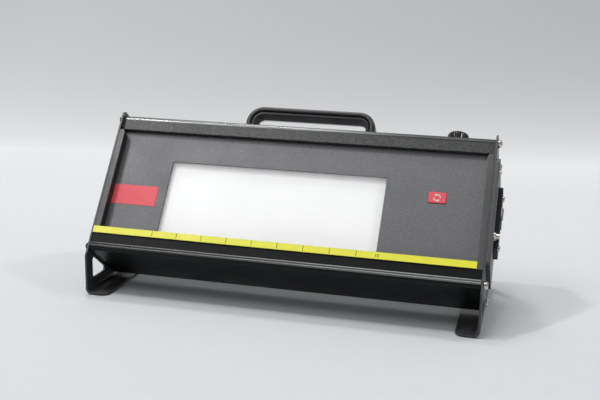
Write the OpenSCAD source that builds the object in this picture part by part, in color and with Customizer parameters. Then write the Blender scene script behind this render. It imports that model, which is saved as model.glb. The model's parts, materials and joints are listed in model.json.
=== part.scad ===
// Industrial LED film viewer: a tilted aluminium light box between two folded side brackets.
// X runs along the viewer, Y runs backwards, Z is up and the floor is at zero.
// The head is drawn upright in its own axes and then leaned back: there Y is the depth behind
// the front panel's face and Z is the height above the bottom of the ruler strip.

/* [Stand] */
// Lean of the front panel back from vertical, degrees
tilt = 35.8; // [25:0.1:45]
// Distance of the panel's foot line behind the front of the feet
panel_y = 22.4; // [18:0.1:30]
// Height of the housing's lowest corner above the floor
corner_z = 5.6; // [3:0.1:20]
// Reach of the side brackets behind the housing
back_lip = 0.98; // [0.5:0.01:20]
// Width of the flange that a side bracket stands on
foot_w = 22.7; // [15:0.1:40]
// Sheet thickness of the side brackets
side_t = 2; // [1.5:0.1:3]
// Outer radius of the bend above the foot
foot_bend_r = 5; // [3.5:0.1:8]
// Width of the bracket's front flange beside the panel
flange_w = 8; // [6:0.1:12]
// Height of the bracket flanges' front face above the panel
flange_proud = 9.6; // [8:0.1:14]
// Depth of the strut's side and height of the side strip above the foot
strip_w = 13; // [9:0.1:18]
// Height of the bracket's top edge above the housing's top
ear_h = 3; // [1:0.1:6]
// Thickness of the pads under the feet
pad_t = 1; // [0.5:0.1:3]

/* [Housing] */
// Length of the housing between the side brackets
shell_l = 382; // [310:1:460]
// Depth of the housing behind the panel's face
body_d = 60; // [56:1:80]
// Height of the housing's top above the panel's foot line
top_v = 134; // [126:1:160]
// Depth of the housing's underside below the panel's foot line
under_v = 18; // [15:0.5:26]
// Wall thickness of the two extrusions
wall = 2; // [1.6:0.1:3]
// Sheet thickness of the rear cover
cover_t = 1.5; // [1:0.1:2.5]
// Height of the top rail's face above the panel
rail_proud = 5.2; // [3:0.1:8]
// Height where the top rail's face starts
rail_v = 117.3; // [110:0.1:122]
// Radius of the top rail's outer edge
rail_r = 5; // [2.5:0.1:6]
// Height of the ledge that holds the film's lower edge
ledge_v = 6.7; // [4:0.1:12]
// Thickness of the ledge
ledge_t = 2.6; // [2:0.1:4]

/* [Front] */
// Thickness of the front panel
panel_t = 2; // [1.5:0.1:3]
// Distance of the lit window from the housing's left end
window_left = 62.6; // [62:0.1:90]
// Distance of the lit window from the housing's right end
window_right = 99.4; // [96:0.1:130]
// Height of the lit window
window_h = 80; // [60:1:86]
// Thickness of the clear window glass
glass_t = 3; // [2:0.1:4]
// Thickness of the opal diffuser
diffuser_t = 3; // [2:0.1:4]
// Distance between the ruler strip's right end and the housing's right end
strip_short = 5.5; // [0.2:0.1:40]
// Width of the push button's cap
button_w = 17; // [10:0.1:24]
// Height of the push button's cap
button_h = 11; // [8:0.1:16]
// Distance of the push button from the housing's right end
button_in = 49.3; // [43:0.1:55]
// Height of the push button on the panel
button_v = 69.8; // [40:0.1:90]
// Travel of the push button
button_travel = 1; // [0.5:0.1:1.4]

/* [Top] */
// Outer width of the carrying handle
handle_w = 136.5; // [110:0.5:180]
// Height of the handle above the housing
handle_h = 33; // [26:0.5:50]
// Depth of the handle's strap from front to back
handle_d = 17; // [12:0.5:24]
// Thickness of the handle's strap
handle_t = 8.2; // [5:0.1:10]
// Outer radius of the handle's corners
handle_r = 17.5; // [12:0.5:26]
// Radius of the dimmer knob
knob_r = 10.9; // [9.5:0.1:14]
// Height of the dimmer knob
knob_h = 16.8; // [12:0.1:20]
// Distance of the dimmer knob from the housing's right end
knob_in = 39; // [26:0.1:60]

/* [Connector side] */
// Thickness of the connector cover
plate_t = 4; // [3:0.1:6]
// Height of the power module's flange
module_h = 64; // [60:0.5:72]
// Width of the power module's flange
module_w = 30; // [28.5:0.5:36]
// Radius of the foot switch jack's bore
jack_r = 1.8; // [1.75:0.05:2.2]

/* [Hidden] */
$fn = 48;

// Clearances and shared small sizes
fit = 0.05;
gap = 0.2;
overrun = 1;
corner_steps = 7;

// Machine screws: shank radius, head radius and head height of each size used
m4_r = 2;
m4_head_r = 4;
m4_head_h = 3.8;
m3_r = 1.5;
m3_head_r = 2.8;
m3_head_h = 1.8;
recess_share = 0.55;
recess_t_share = 0.22;
head_top_share = 0.7;

// Derived places of the stand
side_in = shell_l / 2;
side_x = side_in + side_t;
panel_z = corner_z + body_d * sin(tilt) + under_v * cos(tilt);
kink_v = -(panel_y - flange_proud * cos(tilt)) / sin(tilt);
ear_v = top_v + ear_h;
back_edge_d = body_d + back_lip;
foot_l = panel_y + ear_v * sin(tilt) + back_edge_d * cos(tilt);
ear_r = 6;
kink_r = 8;
toe_r = 8;
flange_end_r = 3.5;
hole_r = 3;
rear_hole_r = 6;
under_gap = 2;
strut_low = pad_t + foot_bend_r;
strip_top = pad_t + strip_w;
flange_top_v = rail_v - (flange_proud - rail_proud) / 2;
flange_low_v = -0.6;

// Screw ports inside the extrusions
port_r = 3.3;
port_sink = 0.3;
port_hole_r = m4_r + fit;
port_low_v = wall - under_v + port_r - port_sink;
port_front_d = -3;
port_face = 0.2;
port_drop = 4.6;
port_rail_d = port_r + port_face - rail_proud;
port_rail_v = top_v - port_drop;
port_back_in = 10;
port_back_d = body_d - port_back_in;
port_top_v = top_v - wall - port_r + port_sink;
end_screw_l = 14;
port_places = [[port_rail_d, port_rail_v], [port_back_d, port_top_v],
    [port_front_d, port_low_v], [port_back_d, port_low_v]];

// Front of the lower extrusion
band_in = 0.8;
band_top_v = -0.8;
band_low_v = -10;
bead_r = 1.2;
bead_proud = 1;
bead_step = 2.3;
bead_low_v = band_low_v - 2 * bead_r - bead_step;
gutter_v = -1;
seat_h = 2.2;
rear_rim_h = 12;
rail_return_h = 6;

// Front panel, guides and labels
panel_l = shell_l - 2 * gap;
panel_low_v = gutter_v;
panel_top_v = rail_v - gap;
guide_w = flange_w - side_t - gap;
strip_t = 0.6;
strip_start = 0.1;
strip_l = shell_l - strip_start - strip_short;
strip_x = (strip_start - strip_short) / 2;
label_w = 47.3;
label_h = 21.2;
label_v = 36.1;
label_t = 0.3;
label_left = -side_in + guide_w + 2 * gap;

// Light box stack behind the panel
window_w = shell_l - window_left - window_right;
window_x = (window_left - window_right) / 2;
window_v = ledge_v;
window_c = window_v + window_h / 2;
overlap = 5;
glass_w = window_w + 2 * overlap;
glass_h = window_h + 2 * overlap;
box_front = panel_t + glass_t + diffuser_t;
box_wall = 1.5;
box_margin = 3;
box_w = window_w + 2 * (box_margin + box_wall);
box_h = window_h + 2 * (box_margin + box_wall);
box_l = 24;
board_t = 1.6;
box_back = box_front + box_l;
led_size = 5;
led_h = 1.2;
led_columns = 12;
led_rows = 5;
led_spread_share = 0.9;
sink_base = 4;
sink_front = box_back + board_t;
ear_reach = 8;
boss_r = 3.5;
stack_w = box_w + 2 * ear_reach;
boss_x = glass_w / 2 + boss_r + gap;
boss_v_share = 0.33;
boss_v = box_h * boss_v_share;
box_places = [for (sx = [-1, 1], sy = [-1, 1]) [window_x + sx * boss_x, window_c + sy * boss_v]];
fin_t = 1.4;
fin_count = 22;
fin_gap = 0.8;
cover_in = body_d - cover_t;

// Fans
fan_w = 60;
fan_d = 10;
fan_front = cover_in - fan_d;
fan_pitch = 50;
fan_bore_r = 28.5;
fan_corner_r = 4;
fan_x_share = 0.26;
fan_xs = [window_x - window_w * fan_x_share, window_x + window_w * fan_x_share];
hub_r = 12.5;
hub_plate_t = 2;
spoke_w = 3;
blade_count = 7;
blade_t = 1.2;
blade_chord = 8;
blade_pitch = 38;
blade_tip_gap = 1.2;
rotor_l = 6.4;
rotor_gap = 0.6;
pin_r = 1.5;
pin_l = 2;
fin_l = fan_front - fin_gap - sink_front - sink_base;
slot_w = 3.6;
slot_pitch = 7.2;
slot_count = 3;
low_slot_l = 30;
low_slot_count = 8;
low_slot_pitch = 9;
low_slot_x = (fan_xs[1] + fan_w / 2 + side_in) / 2;

// Rear cover and its screws
rear_screw_v_low = rear_rim_h / 2 - under_v + wall / 2;
rear_screw_v_top = top_v - rear_rim_h / 2 - wall / 2;
rear_screw_l = 5;
rear_screw_share = 0.44;
rear_screw_xs = [-shell_l * rear_screw_share, shell_l * rear_screw_share];

// Power supply at the left end
psu_play = 3;
psu_w = side_in + window_x - stack_w / 2 - 2 * psu_play;
psu_v = window_c + ledge_v;
psu_end_gap = 10.4;
psu_h = 2 * (psu_v - rear_screw_v_low - psu_end_gap);
psu_d = 30;
psu_wall = 1.2;
psu_x = (-side_in + window_x - stack_w / 2) / 2;
psu_pitch_share = 0.36;
psu_vent_count = 6;
psu_vent_w_share = 0.6;
psu_vent_step = 6;
terminal_w = 30;
terminal_h = 8;
terminal_d = 10;

// Push button and its switch on the control board
button_x = side_in - button_in;
button_proud = 0.9;
button_flange = 1.5;
button_flange_t = 1.4;
button_r = 1.2;
button_back = panel_t + gap + button_flange_t;
plunger_r = 1.7;
plunger_out = 2.2;
switch_w = 7;
switch_h = 4;
board_front = button_back + plunger_out + switch_h;
plunger_in = 1.6;
ctrl_w = 46;
ctrl_h = 50;
ctrl_inset = 4;
ctrl_places = [for (sx = [-1, 1], sy = [-1, 1])
    [button_x + sx * (ctrl_w / 2 - ctrl_inset), button_v + sy * (ctrl_h / 2 - ctrl_inset)]];
post_r = 2.8;
post_hole_r = m3_r + fit;
chip_w = 12;
chip_h = 1.6;
plug_w = 16;
plug_h = 6;
plug_d = 8;

// Dimmer on the top wall
knob_x = side_in - knob_in;
dimmer_d = 29;
pot_r = 8;
pot_h = 9;
bush_r = 4.4;
bush_h = 5;
pot_shaft_r = 3;
nut_r = 6.2;
nut_h = 1.8;
knob_lift = 0.6;
knob_top = top_v + knob_lift + knob_h;
knob_cavity_r = 7;
knob_cap_t = 1.6;
knob_edge_r = 1.5;
knob_grooves = 30;
groove_r = 0.55;
pointer_w = 0.9;
pointer_in = 0.5;
shaft_end_gap = 0.4;
flat_share = 0.55;

// Handle
handle_c = 29;
handle_leg_x = (handle_w - handle_t) / 2;
handle_screw_l = 10;
handle_screw_r = 2.5;
handle_head_r = 4.5;
handle_head_h = 2.6;
rib_w_share = 0.4;
rib_h = 0.6;

// Connector side
plate_x = side_x + plate_t;
plate_low_v = 3;
plate_top_v = 112;
plate_front_d = gap - flange_proud;
plate_back_d = body_d;
plate_r = 5;
plate_screw_in = 6;
plate_screw_up = 33;
plate_screw_down = 14;
plate_screw_places = [for (d = [plate_front_d + plate_screw_in, plate_back_d - plate_screw_in],
    v = [plate_low_v + plate_screw_up, plate_top_v - plate_screw_down]) [d, v]];
module_v = 60;
module_d = 28;
module_flange_t = 4.2;
module_r = 3;
module_body_w = 26.6;
module_l = 26;
module_screw_v = 25.5;
module_web = 0.7;
module_body_h = 2 * (module_screw_v - m3_r - module_web);
module_screw_places = [[module_d, module_v - module_screw_v], [module_d, module_v + module_screw_v]];
module_face = plate_x + module_flange_t;
inlet_w = 24;
inlet_h = 16.4;
inlet_cut = 4;
inlet_l = 17;
inlet_dv = -12.4;
blade_w = 4;
inlet_blade_t = 2;
blade_out = 13;
blade_row = 4;
blade_side = 7;
blade_dv = 2;
inlet_blades = [for (i = [-1:1]) [module_d + i * blade_side,
    module_v + inlet_dv + (i == 0 ? blade_dv : -blade_dv), inlet_blade_t, blade_w]];
drawer_w = 22;
drawer_h = 6;
drawer_l = 19;
drawer_dv = 0.9;
drawer_lip = 0.9;
drawer_play = 0.15;
fuse_r = 2.5;
fuse_l = 20;
fuse_floor = 0.6;
rocker_w = 19;
rocker_h = 12;
rocker_dv = 12.9;
rocker_play = 0.4;
rocker_deep = 10;
rocker_pivot_in = 2.1;
rocker_crown = 2.6;
rocker_waist = 1.2;
rocker_sole = 6;
rocker_tilt = 8;
rocker_pin_r = 1.2;
rocker_pin_out = 0.8;
jack_d = 7;
jack_v = 38.7;
jack_wall = 1.2;
jack_barrel_r = jack_r + jack_wall;
jack_out = 5.3;
jack_in = 14;
jack_bore_l = 15;
jack_nut_r = jack_barrel_r + jack_wall;
jack_nut_h = 1.8;
jack_body_w = 8;
nut_slot_w = 1;

// The whole part is centred over the floor's origin
reach_left = side_x + m4_head_h;
reach_right = max(plate_x + jack_out, module_face + m3_head_h);
shift_x = (reach_left - reach_right) / 2;
shift_y = -foot_l / 2;

function at(v, d) = [panel_y + v * sin(tilt) + d * cos(tilt), panel_z + v * cos(tilt) - d * sin(tilt)];
function unit(p) = p / norm(p);
function corner(a, b, c, r) =
    let (u = unit(a - b), w = unit(c - b), half = acos(u * w) / 2,
        centre = b + unit(u + w) * r / sin(half),
        from = b + u * r / tan(half) - centre,
        to = b + w * r / tan(half) - centre,
        start = atan2(from[1], from[0]),
        sweep = (atan2(to[1], to[0]) - start + 540) % 360 - 180)
    [for (i = [0:corner_steps]) centre + r * [cos(start + sweep * i / corner_steps),
        sin(start + sweep * i / corner_steps)]];
function rounded(points, radii) =
    let (n = len(points))
    [for (i = [0:n - 1]) each radii[i] > 0
        ? corner(points[(i + n - 1) % n], points[i], points[(i + 1) % n], radii[i])
        : [points[i]]];

// Places the upright head on its lean
module head() {
    translate([shift_x, shift_y + panel_y, panel_z]) rotate([-tilt, 0, 0]) children();
}

// Places what stands square to the floor
module stand() {
    translate([shift_x, shift_y, 0]) children();
}

// Keeps a right hand piece for sign = 1 and mirrors it to the left end for sign = -1
module side(sign) {
    mirror([sign > 0 ? 0 : 1, 0, 0]) children();
}

module bar(y0, y1, z0, z1) {
    translate([y0, z0]) square([y1 - y0, z1 - z0]);
}

// Extrudes a Y-Z outline along X, centred
module along_x(l) {
    rotate([90, 0, 90]) linear_extrude(l, center = true) children();
}

// Extrudes a Y-Z outline along X between two planes
module between_x(x0, x1) {
    translate([x0, 0, 0]) rotate([90, 0, 90]) linear_extrude(x1 - x0) children();
}

// Extrudes an X-Z outline backwards from y0 to y1
module between_y(y0, y1) {
    translate([0, y1, 0]) rotate([90, 0, 0]) linear_extrude(y1 - y0) children();
}

module soft_rect(w, h, r) {
    polygon(rounded([[-w / 2, -h / 2], [w / 2, -h / 2], [w / 2, h / 2], [-w / 2, h / 2]], [r, r, r, r]));
}

// A block that starts on its own origin along X and is centred on the other two
module cube_on_row(size) {
    translate([0, -size[1] / 2, -size[2] / 2]) cube(size);
}

// Slot with round ends, lying along the first axis
module slot(l, w) {
    translate([(w - l) / 2, 0]) circle(w / 2);
    translate([(l - w) / 2, 0]) circle(w / 2);
    square([l - w, w], center = true);
}

// Pan head screw whose head sits on the plane z = 0 and points up
module screw(r, head_r, head_h, l) {
    difference() {
        union() {
            cylinder(r = head_r, h = head_h / 2);
            translate([0, 0, head_h / 2])
                cylinder(r1 = head_r, r2 = head_r * head_top_share, h = head_h / 2);
            translate([0, 0, -l]) cylinder(r = r, h = l);
        }
        for (turn = [0, 90])
            rotate([0, 0, turn]) translate([0, 0, head_h])
                cube([head_r * 2 * recess_share, head_r * 2 * recess_t_share, head_h], center = true);
    }
}

// Turn a piece that points up to point out of the right end or out of the back
module facing_right() {
    rotate([0, 90, 0]) children();
}

module facing_back() {
    rotate([-90, 0, 0]) children();
}

// Side brackets
module bracket_outline() {
    back_z = panel_z + ear_v * cos(tilt) - back_edge_d * sin(tilt);
    polygon(rounded(
        [[0, strut_low], at(kink_v, -flange_proud), at(ear_v, -flange_proud), [foot_l, back_z],
            [foot_l, strut_low]],
        [0, kink_r, ear_r, ear_r, 0]));
}

// Opening between the strut, the housing's underside and the foot
module front_hole() {
    line_v = -under_v - under_gap;
    front_d = (strip_w - panel_y - line_v * sin(tilt)) / cos(tilt);
    low_d = (panel_z + line_v * cos(tilt) - strip_top) / sin(tilt);
    polygon(rounded([[strip_w, strip_top], at(line_v, front_d), at(line_v, low_d)],
        [hole_r, hole_r, hole_r]));
}

// Opening between the housing's back, the rear strip and the foot
module rear_hole() {
    line_d = body_d + 2 * under_gap;
    low_v = (strip_top - panel_z + line_d * sin(tilt)) / cos(tilt);
    high_v = (foot_l - strip_w - panel_y - line_d * cos(tilt)) / sin(tilt);
    polygon(rounded([at(low_v, line_d), at(high_v, line_d), [foot_l - strip_w, strip_top]],
        [rear_hole_r, rear_hole_r, rear_hole_r]));
}

module foot_profile() {
    inner_x = side_x - foot_w;
    bend_x = side_x - foot_bend_r;
    translate([inner_x, pad_t]) square([bend_x - inner_x, side_t]);
    intersection() {
        translate([bend_x, pad_t]) square(foot_bend_r);
        translate([bend_x, strut_low]) difference() {
            circle(foot_bend_r);
            circle(foot_bend_r - side_t);
        }
    }
}

module foot_plan() {
    inner_x = side_x - foot_w;
    polygon(rounded([[inner_x, 0], [side_x, 0], [side_x, foot_l], [inner_x, foot_l]],
        [toe_r, 0, 0, toe_r]));
}

module end_holes() {
    for (place = port_places) translate([side_in - overrun, place[0], place[1]])
        rotate([0, 90, 0]) cylinder(r = port_hole_r, h = side_t + 2 * overrun);
}

module bracket_right() {
    difference() {
        union() {
            stand() {
                between_x(side_in, side_x) difference() {
                    bracket_outline();
                    front_hole();
                    rear_hole();
                }
                intersection() {
                    between_y(0, foot_l) foot_profile();
                    linear_extrude(strut_low) foot_plan();
                }
            }
            head() between_y(-flange_proud, side_t - flange_proud)
                polygon(rounded(
                    [[side_x - flange_w, flange_low_v], [side_x, flange_low_v], [side_x, flange_top_v],
                        [side_x - flange_w, flange_top_v]],
                    [0, 0, 0, flange_end_r]));
        }
        head() end_holes();
    }
}

// Mirrors about the middle of the housing, which the shift moves off the origin
module left_hand() {
    translate([2 * shift_x, 0, 0]) mirror([1, 0, 0]) children();
}

module side_bracket_left() {
    color("#26282a") left_hand() bracket_right();
}

module side_bracket_right() {
    color("#2a2c2e") difference() {
        bracket_right();
        head() translate([side_in - overrun, 0, 0]) {
            translate([0, module_d - module_body_w / 2 - gap, module_v - module_body_h / 2 - gap])
                cube([side_t + 2 * overrun, module_body_w + 2 * gap, module_body_h + 2 * gap]);
            translate([0, jack_d, jack_v]) rotate([0, 90, 0])
                cylinder(r = jack_barrel_r + fit, h = side_t + 2 * overrun);
            for (place = plate_screw_places) translate([0, place[0], place[1]]) rotate([0, 90, 0])
                cylinder(r = m3_r + fit, h = side_t + 2 * overrun);
        }
    }
}

module foot_pad(sign) {
    inset = 2 * side_t;
    stand() linear_extrude(pad_t) polygon(rounded(
        [[sign * (side_x - foot_w + inset), inset], [sign * (side_x - foot_bend_r), inset],
            [sign * (side_x - foot_bend_r), foot_l - inset],
            [sign * (side_x - foot_w + inset), foot_l - inset]],
        [hole_r, hole_r, hole_r, hole_r]));
}

module foot_pad_left() {
    color("#1c1c1c") foot_pad(-1);
}

module foot_pad_right() {
    color("#1c1c1c") foot_pad(1);
}

// Upper extrusion: the top rail, the top wall and two screw ports
module top_profile_outline() {
    difference() {
        union() {
            polygon(rounded(
                [[-rail_proud, rail_v], [wall - rail_proud, rail_v], [wall - rail_proud, top_v - wall],
                    [body_d, top_v - wall], [body_d, top_v], [-rail_proud, top_v]],
                [0, 0, 0, 0, 0, rail_r]));
            bar(-rail_proud, panel_t + wall, rail_v, rail_v + wall);
            bar(panel_t, panel_t + wall, rail_v - rail_return_h, rail_v + wall);
            bar(cover_in - wall, cover_in, top_v - wall - rear_rim_h, top_v - wall);
            translate([port_rail_d, port_rail_v]) circle(port_r);
            translate([port_back_d, port_top_v]) circle(port_r);
        }
        translate([port_rail_d, port_rail_v]) circle(port_hole_r);
        translate([port_back_d, port_top_v]) circle(port_hole_r);
    }
}

module top_profile() {
    color("#343638") head() difference() {
        along_x(shell_l) top_profile_outline();
        translate([knob_x, dimmer_d, top_v - wall - overrun])
            cylinder(r = bush_r + fit, h = wall + 2 * overrun);
        for (sign = [-1, 1]) translate([sign * handle_leg_x, handle_c, top_v - wall - overrun])
            cylinder(r = handle_screw_r + fit, h = wall + 2 * overrun);
        rear_screw_holes([rear_screw_v_top]);
    }
}

// Lower extrusion: the film ledge, its beaded front, the underside and two screw ports
module bottom_profile_outline() {
    band_d = band_in - flange_proud;
    difference() {
        union() {
            bar(-flange_proud, ledge_t - flange_proud, band_top_v, ledge_v);
            bar(band_d, ledge_t - flange_proud, bead_low_v, ledge_v);
            polygon(rounded(
                [[band_d, bead_low_v], [band_d, -under_v], [body_d, -under_v], [body_d, wall - under_v],
                    [band_d + wall, wall - under_v], [band_d + wall, bead_low_v]],
                [0, wall, 0, 0, 0, 0]));
            bar(band_d, panel_t + wall, gutter_v - wall, gutter_v);
            bar(panel_t, panel_t + wall, -under_v, gutter_v + seat_h);
            bar(cover_in - wall, cover_in, -under_v, rear_rim_h - under_v + wall);
            for (row = [0, 1])
                translate([bead_r - flange_proud - bead_proud, band_low_v - bead_r - row * bead_step])
                    circle(bead_r);
            translate([port_front_d, port_low_v]) circle(port_r);
            translate([port_back_d, port_low_v]) circle(port_r);
        }
        translate([port_front_d, port_low_v]) circle(port_hole_r);
        translate([port_back_d, port_low_v]) circle(port_hole_r);
    }
}

module bottom_profile() {
    color("#1b1c1d") head() difference() {
        along_x(shell_l) bottom_profile_outline();
        rear_screw_holes([rear_screw_v_low]);
        for (sign = [-1, 1]) side(sign)
            translate([side_x - flange_w - gap, -flange_proud - overrun, band_top_v])
                cube([flange_w, ledge_t + 2 * overrun, ledge_v - band_top_v + overrun]);
    }
}

// Rear cover with its fan slots and low air inlets
module rear_screw_holes(heights) {
    for (x = rear_screw_xs, v = heights) translate([x, cover_in - wall - overrun, v])
        facing_back() cylinder(r = m3_r + fit, h = wall + cover_t + 2 * overrun);
}

module rear_cover() {
    low_v = wall - under_v + gap;
    high_v = top_v - wall - gap;
    color("#2b2d2f") head() difference() {
        translate([-panel_l / 2, cover_in, low_v]) cube([panel_l, cover_t, high_v - low_v]);
        rear_screw_holes([rear_screw_v_low, rear_screw_v_top]);
        translate([0, cover_in - overrun, 0]) {
            for (x = fan_xs) translate([x, 0, window_c]) facing_back()
                linear_extrude(cover_t + 2 * overrun) {
                    for (row = [-slot_count:slot_count])
                        translate([0, row * slot_pitch])
                            slot(2 * sqrt(pow(fan_bore_r, 2) - pow(row * slot_pitch, 2)) - slot_w, slot_w);
                    for (sx = [-1, 1], sy = [-1, 1]) translate([sx, sy] * fan_pitch / 2)
                        circle(m3_r + fit);
                }
            for (i = [0:low_slot_count - 1])
                translate([low_slot_x + (i - (low_slot_count - 1) / 2) * low_slot_pitch, 0,
                    rear_rim_h + low_slot_l / 2])
                    facing_back() linear_extrude(cover_t + 2 * overrun)
                        rotate(90) slot(low_slot_l, slot_w);
            for (turn = [-1, 1]) translate([psu_x, 0, psu_v + turn * psu_h * psu_pitch_share])
                facing_back() cylinder(r = m3_r + fit, h = cover_t + 2 * overrun);
        }
    }
}

module rear_cover_screws() {
    color("#1d1d1d") head() for (x = rear_screw_xs, v = [rear_screw_v_low, rear_screw_v_top])
        translate([x, body_d, v]) facing_back() screw(m3_r, m3_head_r, m3_head_h, rear_screw_l);
}

// Front panel with the window, the button's hole and the studs for what hangs behind it
module front_panel() {
    color("#5a5c60") head() {
        difference() {
            translate([-panel_l / 2, 0, panel_low_v])
                cube([panel_l, panel_t, panel_top_v - panel_low_v]);
            translate([window_x - window_w / 2, -overrun, window_v])
                cube([window_w, panel_t + 2 * overrun, window_h]);
            translate([button_x, panel_t + overrun, button_v]) rotate([90, 0, 0])
                linear_extrude(panel_t + 2 * overrun)
                    soft_rect(button_w + 2 * gap, button_h + 2 * gap, button_r);
        }
        for (place = box_places) translate([place[0], panel_t, place[1]]) facing_back() difference() {
            cylinder(r = boss_r, h = box_front - panel_t);
            translate([0, 0, overrun]) cylinder(r = m3_r + fit, h = box_front - panel_t);
        }
        for (place = ctrl_places) translate([place[0], panel_t, place[1]]) facing_back() difference() {
            cylinder(r = post_r, h = board_front - panel_t);
            translate([0, 0, overrun]) cylinder(r = post_hole_r, h = board_front - panel_t);
        }
    }
}

module edge_guide(sign) {
    head() side(sign) translate([side_in - guide_w, side_t - flange_proud, panel_low_v])
        cube([guide_w - gap, flange_proud - side_t, flange_top_v - flange_end_r - panel_low_v]);
}

module edge_guide_left() {
    color("#141414") edge_guide(-1);
}

module edge_guide_right() {
    color("#141414") edge_guide(1);
}

module scale_strip() {
    color("#f4e81c") head() translate([strip_x - strip_l / 2, -flange_proud - strip_t, 0])
        cube([strip_l, strip_t, ledge_v]);
}

module blank_label() {
    color("#e03a45") head() translate([label_left, -label_t, label_v]) cube([label_w, label_t, label_h]);
}

// The stack behind the window
module plate_behind(w, h, front, t) {
    translate([window_x - w / 2, front, window_c - h / 2]) cube([w, t, h]);
}

module window_glass() {
    color("#e6f0f0") head() plate_behind(glass_w, glass_h, panel_t, glass_t);
}

module diffuser() {
    color("#fbfbf6") head() plate_behind(glass_w, glass_h, panel_t + glass_t, diffuser_t);
}

module boss_holes(front, l) {
    for (place = box_places) translate([place[0], front - overrun, place[1]])
        facing_back() cylinder(r = m3_r + fit, h = l + 2 * overrun);
}

module light_box() {
    color("#f0f0ee") head() difference() {
        union() {
            plate_behind(box_w, box_h, box_front, box_l);
            plate_behind(stack_w, glass_h, box_front, box_wall);
            plate_behind(stack_w, box_h, box_back - box_wall, box_wall);
            for (place = box_places) translate([place[0], box_front, place[1]])
                facing_back() cylinder(r = boss_r, h = box_l);
        }
        plate_behind(window_w + 2 * box_margin, window_h + 2 * box_margin, box_front - overrun,
            box_l + 2 * overrun);
        boss_holes(box_front, box_l);
    }
}

module led_board() {
    color("#e9ebe6") head() difference() {
        plate_behind(stack_w, box_h, box_back, board_t);
        boss_holes(box_back, board_t);
    }
}

module leds() {
    step_x = window_w * led_spread_share / (led_columns - 1);
    step_v = window_h * led_spread_share / (led_rows - 1);
    color("#f6e27a") head() for (i = [0:led_columns - 1], j = [0:led_rows - 1])
        translate([window_x + (i - (led_columns - 1) / 2) * step_x - led_size / 2, box_back - led_h,
            window_c + (j - (led_rows - 1) / 2) * step_v - led_size / 2])
            cube([led_size, led_h, led_size]);
}

module heat_sink() {
    step_x = (box_w - fin_t) / (fin_count - 1);
    color("#a9adb0") head() difference() {
        union() {
            plate_behind(stack_w, box_h, sink_front, sink_base);
            for (i = [0:fin_count - 1])
                translate([window_x - box_w / 2 + i * step_x, sink_front, window_c - box_h / 2])
                    cube([fin_t, sink_base + fin_l, box_h]);
        }
        boss_holes(sink_front, sink_base);
    }
}

module light_box_screws() {
    reach = sink_front + sink_base;
    color("#8d9092") head() for (place = box_places) translate([place[0], reach, place[1]])
        facing_back() screw(m3_r, m3_head_r, m3_head_h, reach - panel_t - 2 * overrun);
}

// Fans
module fan_frame(x) {
    head() translate([x, fan_front, window_c]) facing_back() {
        linear_extrude(fan_d) difference() {
            soft_rect(fan_w, fan_w, fan_corner_r);
            circle(fan_bore_r);
            for (sx = [-1, 1], sy = [-1, 1]) translate([sx, sy] * fan_pitch / 2) circle(m3_r + fit);
        }
        difference() {
            union() {
                cylinder(r = hub_r, h = hub_plate_t);
                for (turn = [45:90:315]) rotate(turn) translate([0, -spoke_w / 2, 0])
                    cube([fan_bore_r + overrun, spoke_w, hub_plate_t]);
            }
            translate([0, 0, -overrun]) cylinder(r = pin_r + fit, h = hub_plate_t + 2 * overrun);
        }
    }
}

module fan_frame_left() {
    color("#202224") fan_frame(fan_xs[0]);
}

module fan_frame_right() {
    color("#202224") fan_frame(fan_xs[1]);
}

module fan_rotor(x) {
    head() translate([x, fan_front + hub_plate_t + rotor_gap, window_c]) facing_back() {
        cylinder(r = hub_r, h = rotor_l);
        translate([0, 0, -rotor_gap - pin_l]) cylinder(r = pin_r, h = pin_l + rotor_gap);
        intersection() {
            cylinder(r = fan_bore_r - blade_tip_gap, h = rotor_l);
            for (i = [0:blade_count - 1]) rotate(i * 360 / blade_count)
                translate([fan_bore_r / 2, 0, rotor_l / 2]) rotate([90 - blade_pitch, 0, 0])
                    cube([fan_bore_r, blade_t, blade_chord], center = true);
        }
    }
}

module fan_rotor_left() {
    color("#2c2e31") fan_rotor(fan_xs[0]);
}

module fan_rotor_right() {
    color("#2c2e31") fan_rotor(fan_xs[1]);
}

module fan_screws() {
    color("#1d1d1d") head() for (x = fan_xs, sx = [-1, 1], sy = [-1, 1])
        translate([x + sx * fan_pitch / 2, body_d, window_c + sy * fan_pitch / 2])
            facing_back() screw(m3_r, m3_head_r, m3_head_h, cover_t + fan_d - overrun);
}

// Power supply in its vented case at the left end
module power_supply() {
    front = cover_in - psu_d;
    vent_w = psu_w * psu_vent_w_share;
    color("#b8bbbd") head() {
        difference() {
            translate([psu_x - psu_w / 2, front, psu_v - psu_h / 2]) cube([psu_w, psu_d, psu_h]);
            for (turn = [-1, 1]) translate([psu_x, cover_in, psu_v + turn * psu_h * psu_pitch_share])
                rotate([90, 0, 0]) cylinder(r = m3_r + fit, h = rear_screw_l);
            for (i = [0:psu_vent_count - 1])
                translate([psu_x - vent_w / 2, front - overrun, psu_v + i * psu_vent_step])
                    cube([vent_w, psu_wall + overrun, psu_vent_step / 2]);
        }
        translate([psu_x - terminal_w / 2, front - terminal_d, psu_v - psu_h / 2])
            cube([terminal_w, terminal_d, terminal_h]);
    }
}

module power_supply_screws() {
    color("#1d1d1d") head() for (turn = [-1, 1])
        translate([psu_x, body_d, psu_v + turn * psu_h * psu_pitch_share])
            facing_back() screw(m3_r, m3_head_r, m3_head_h, rear_screw_l);
}

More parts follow.
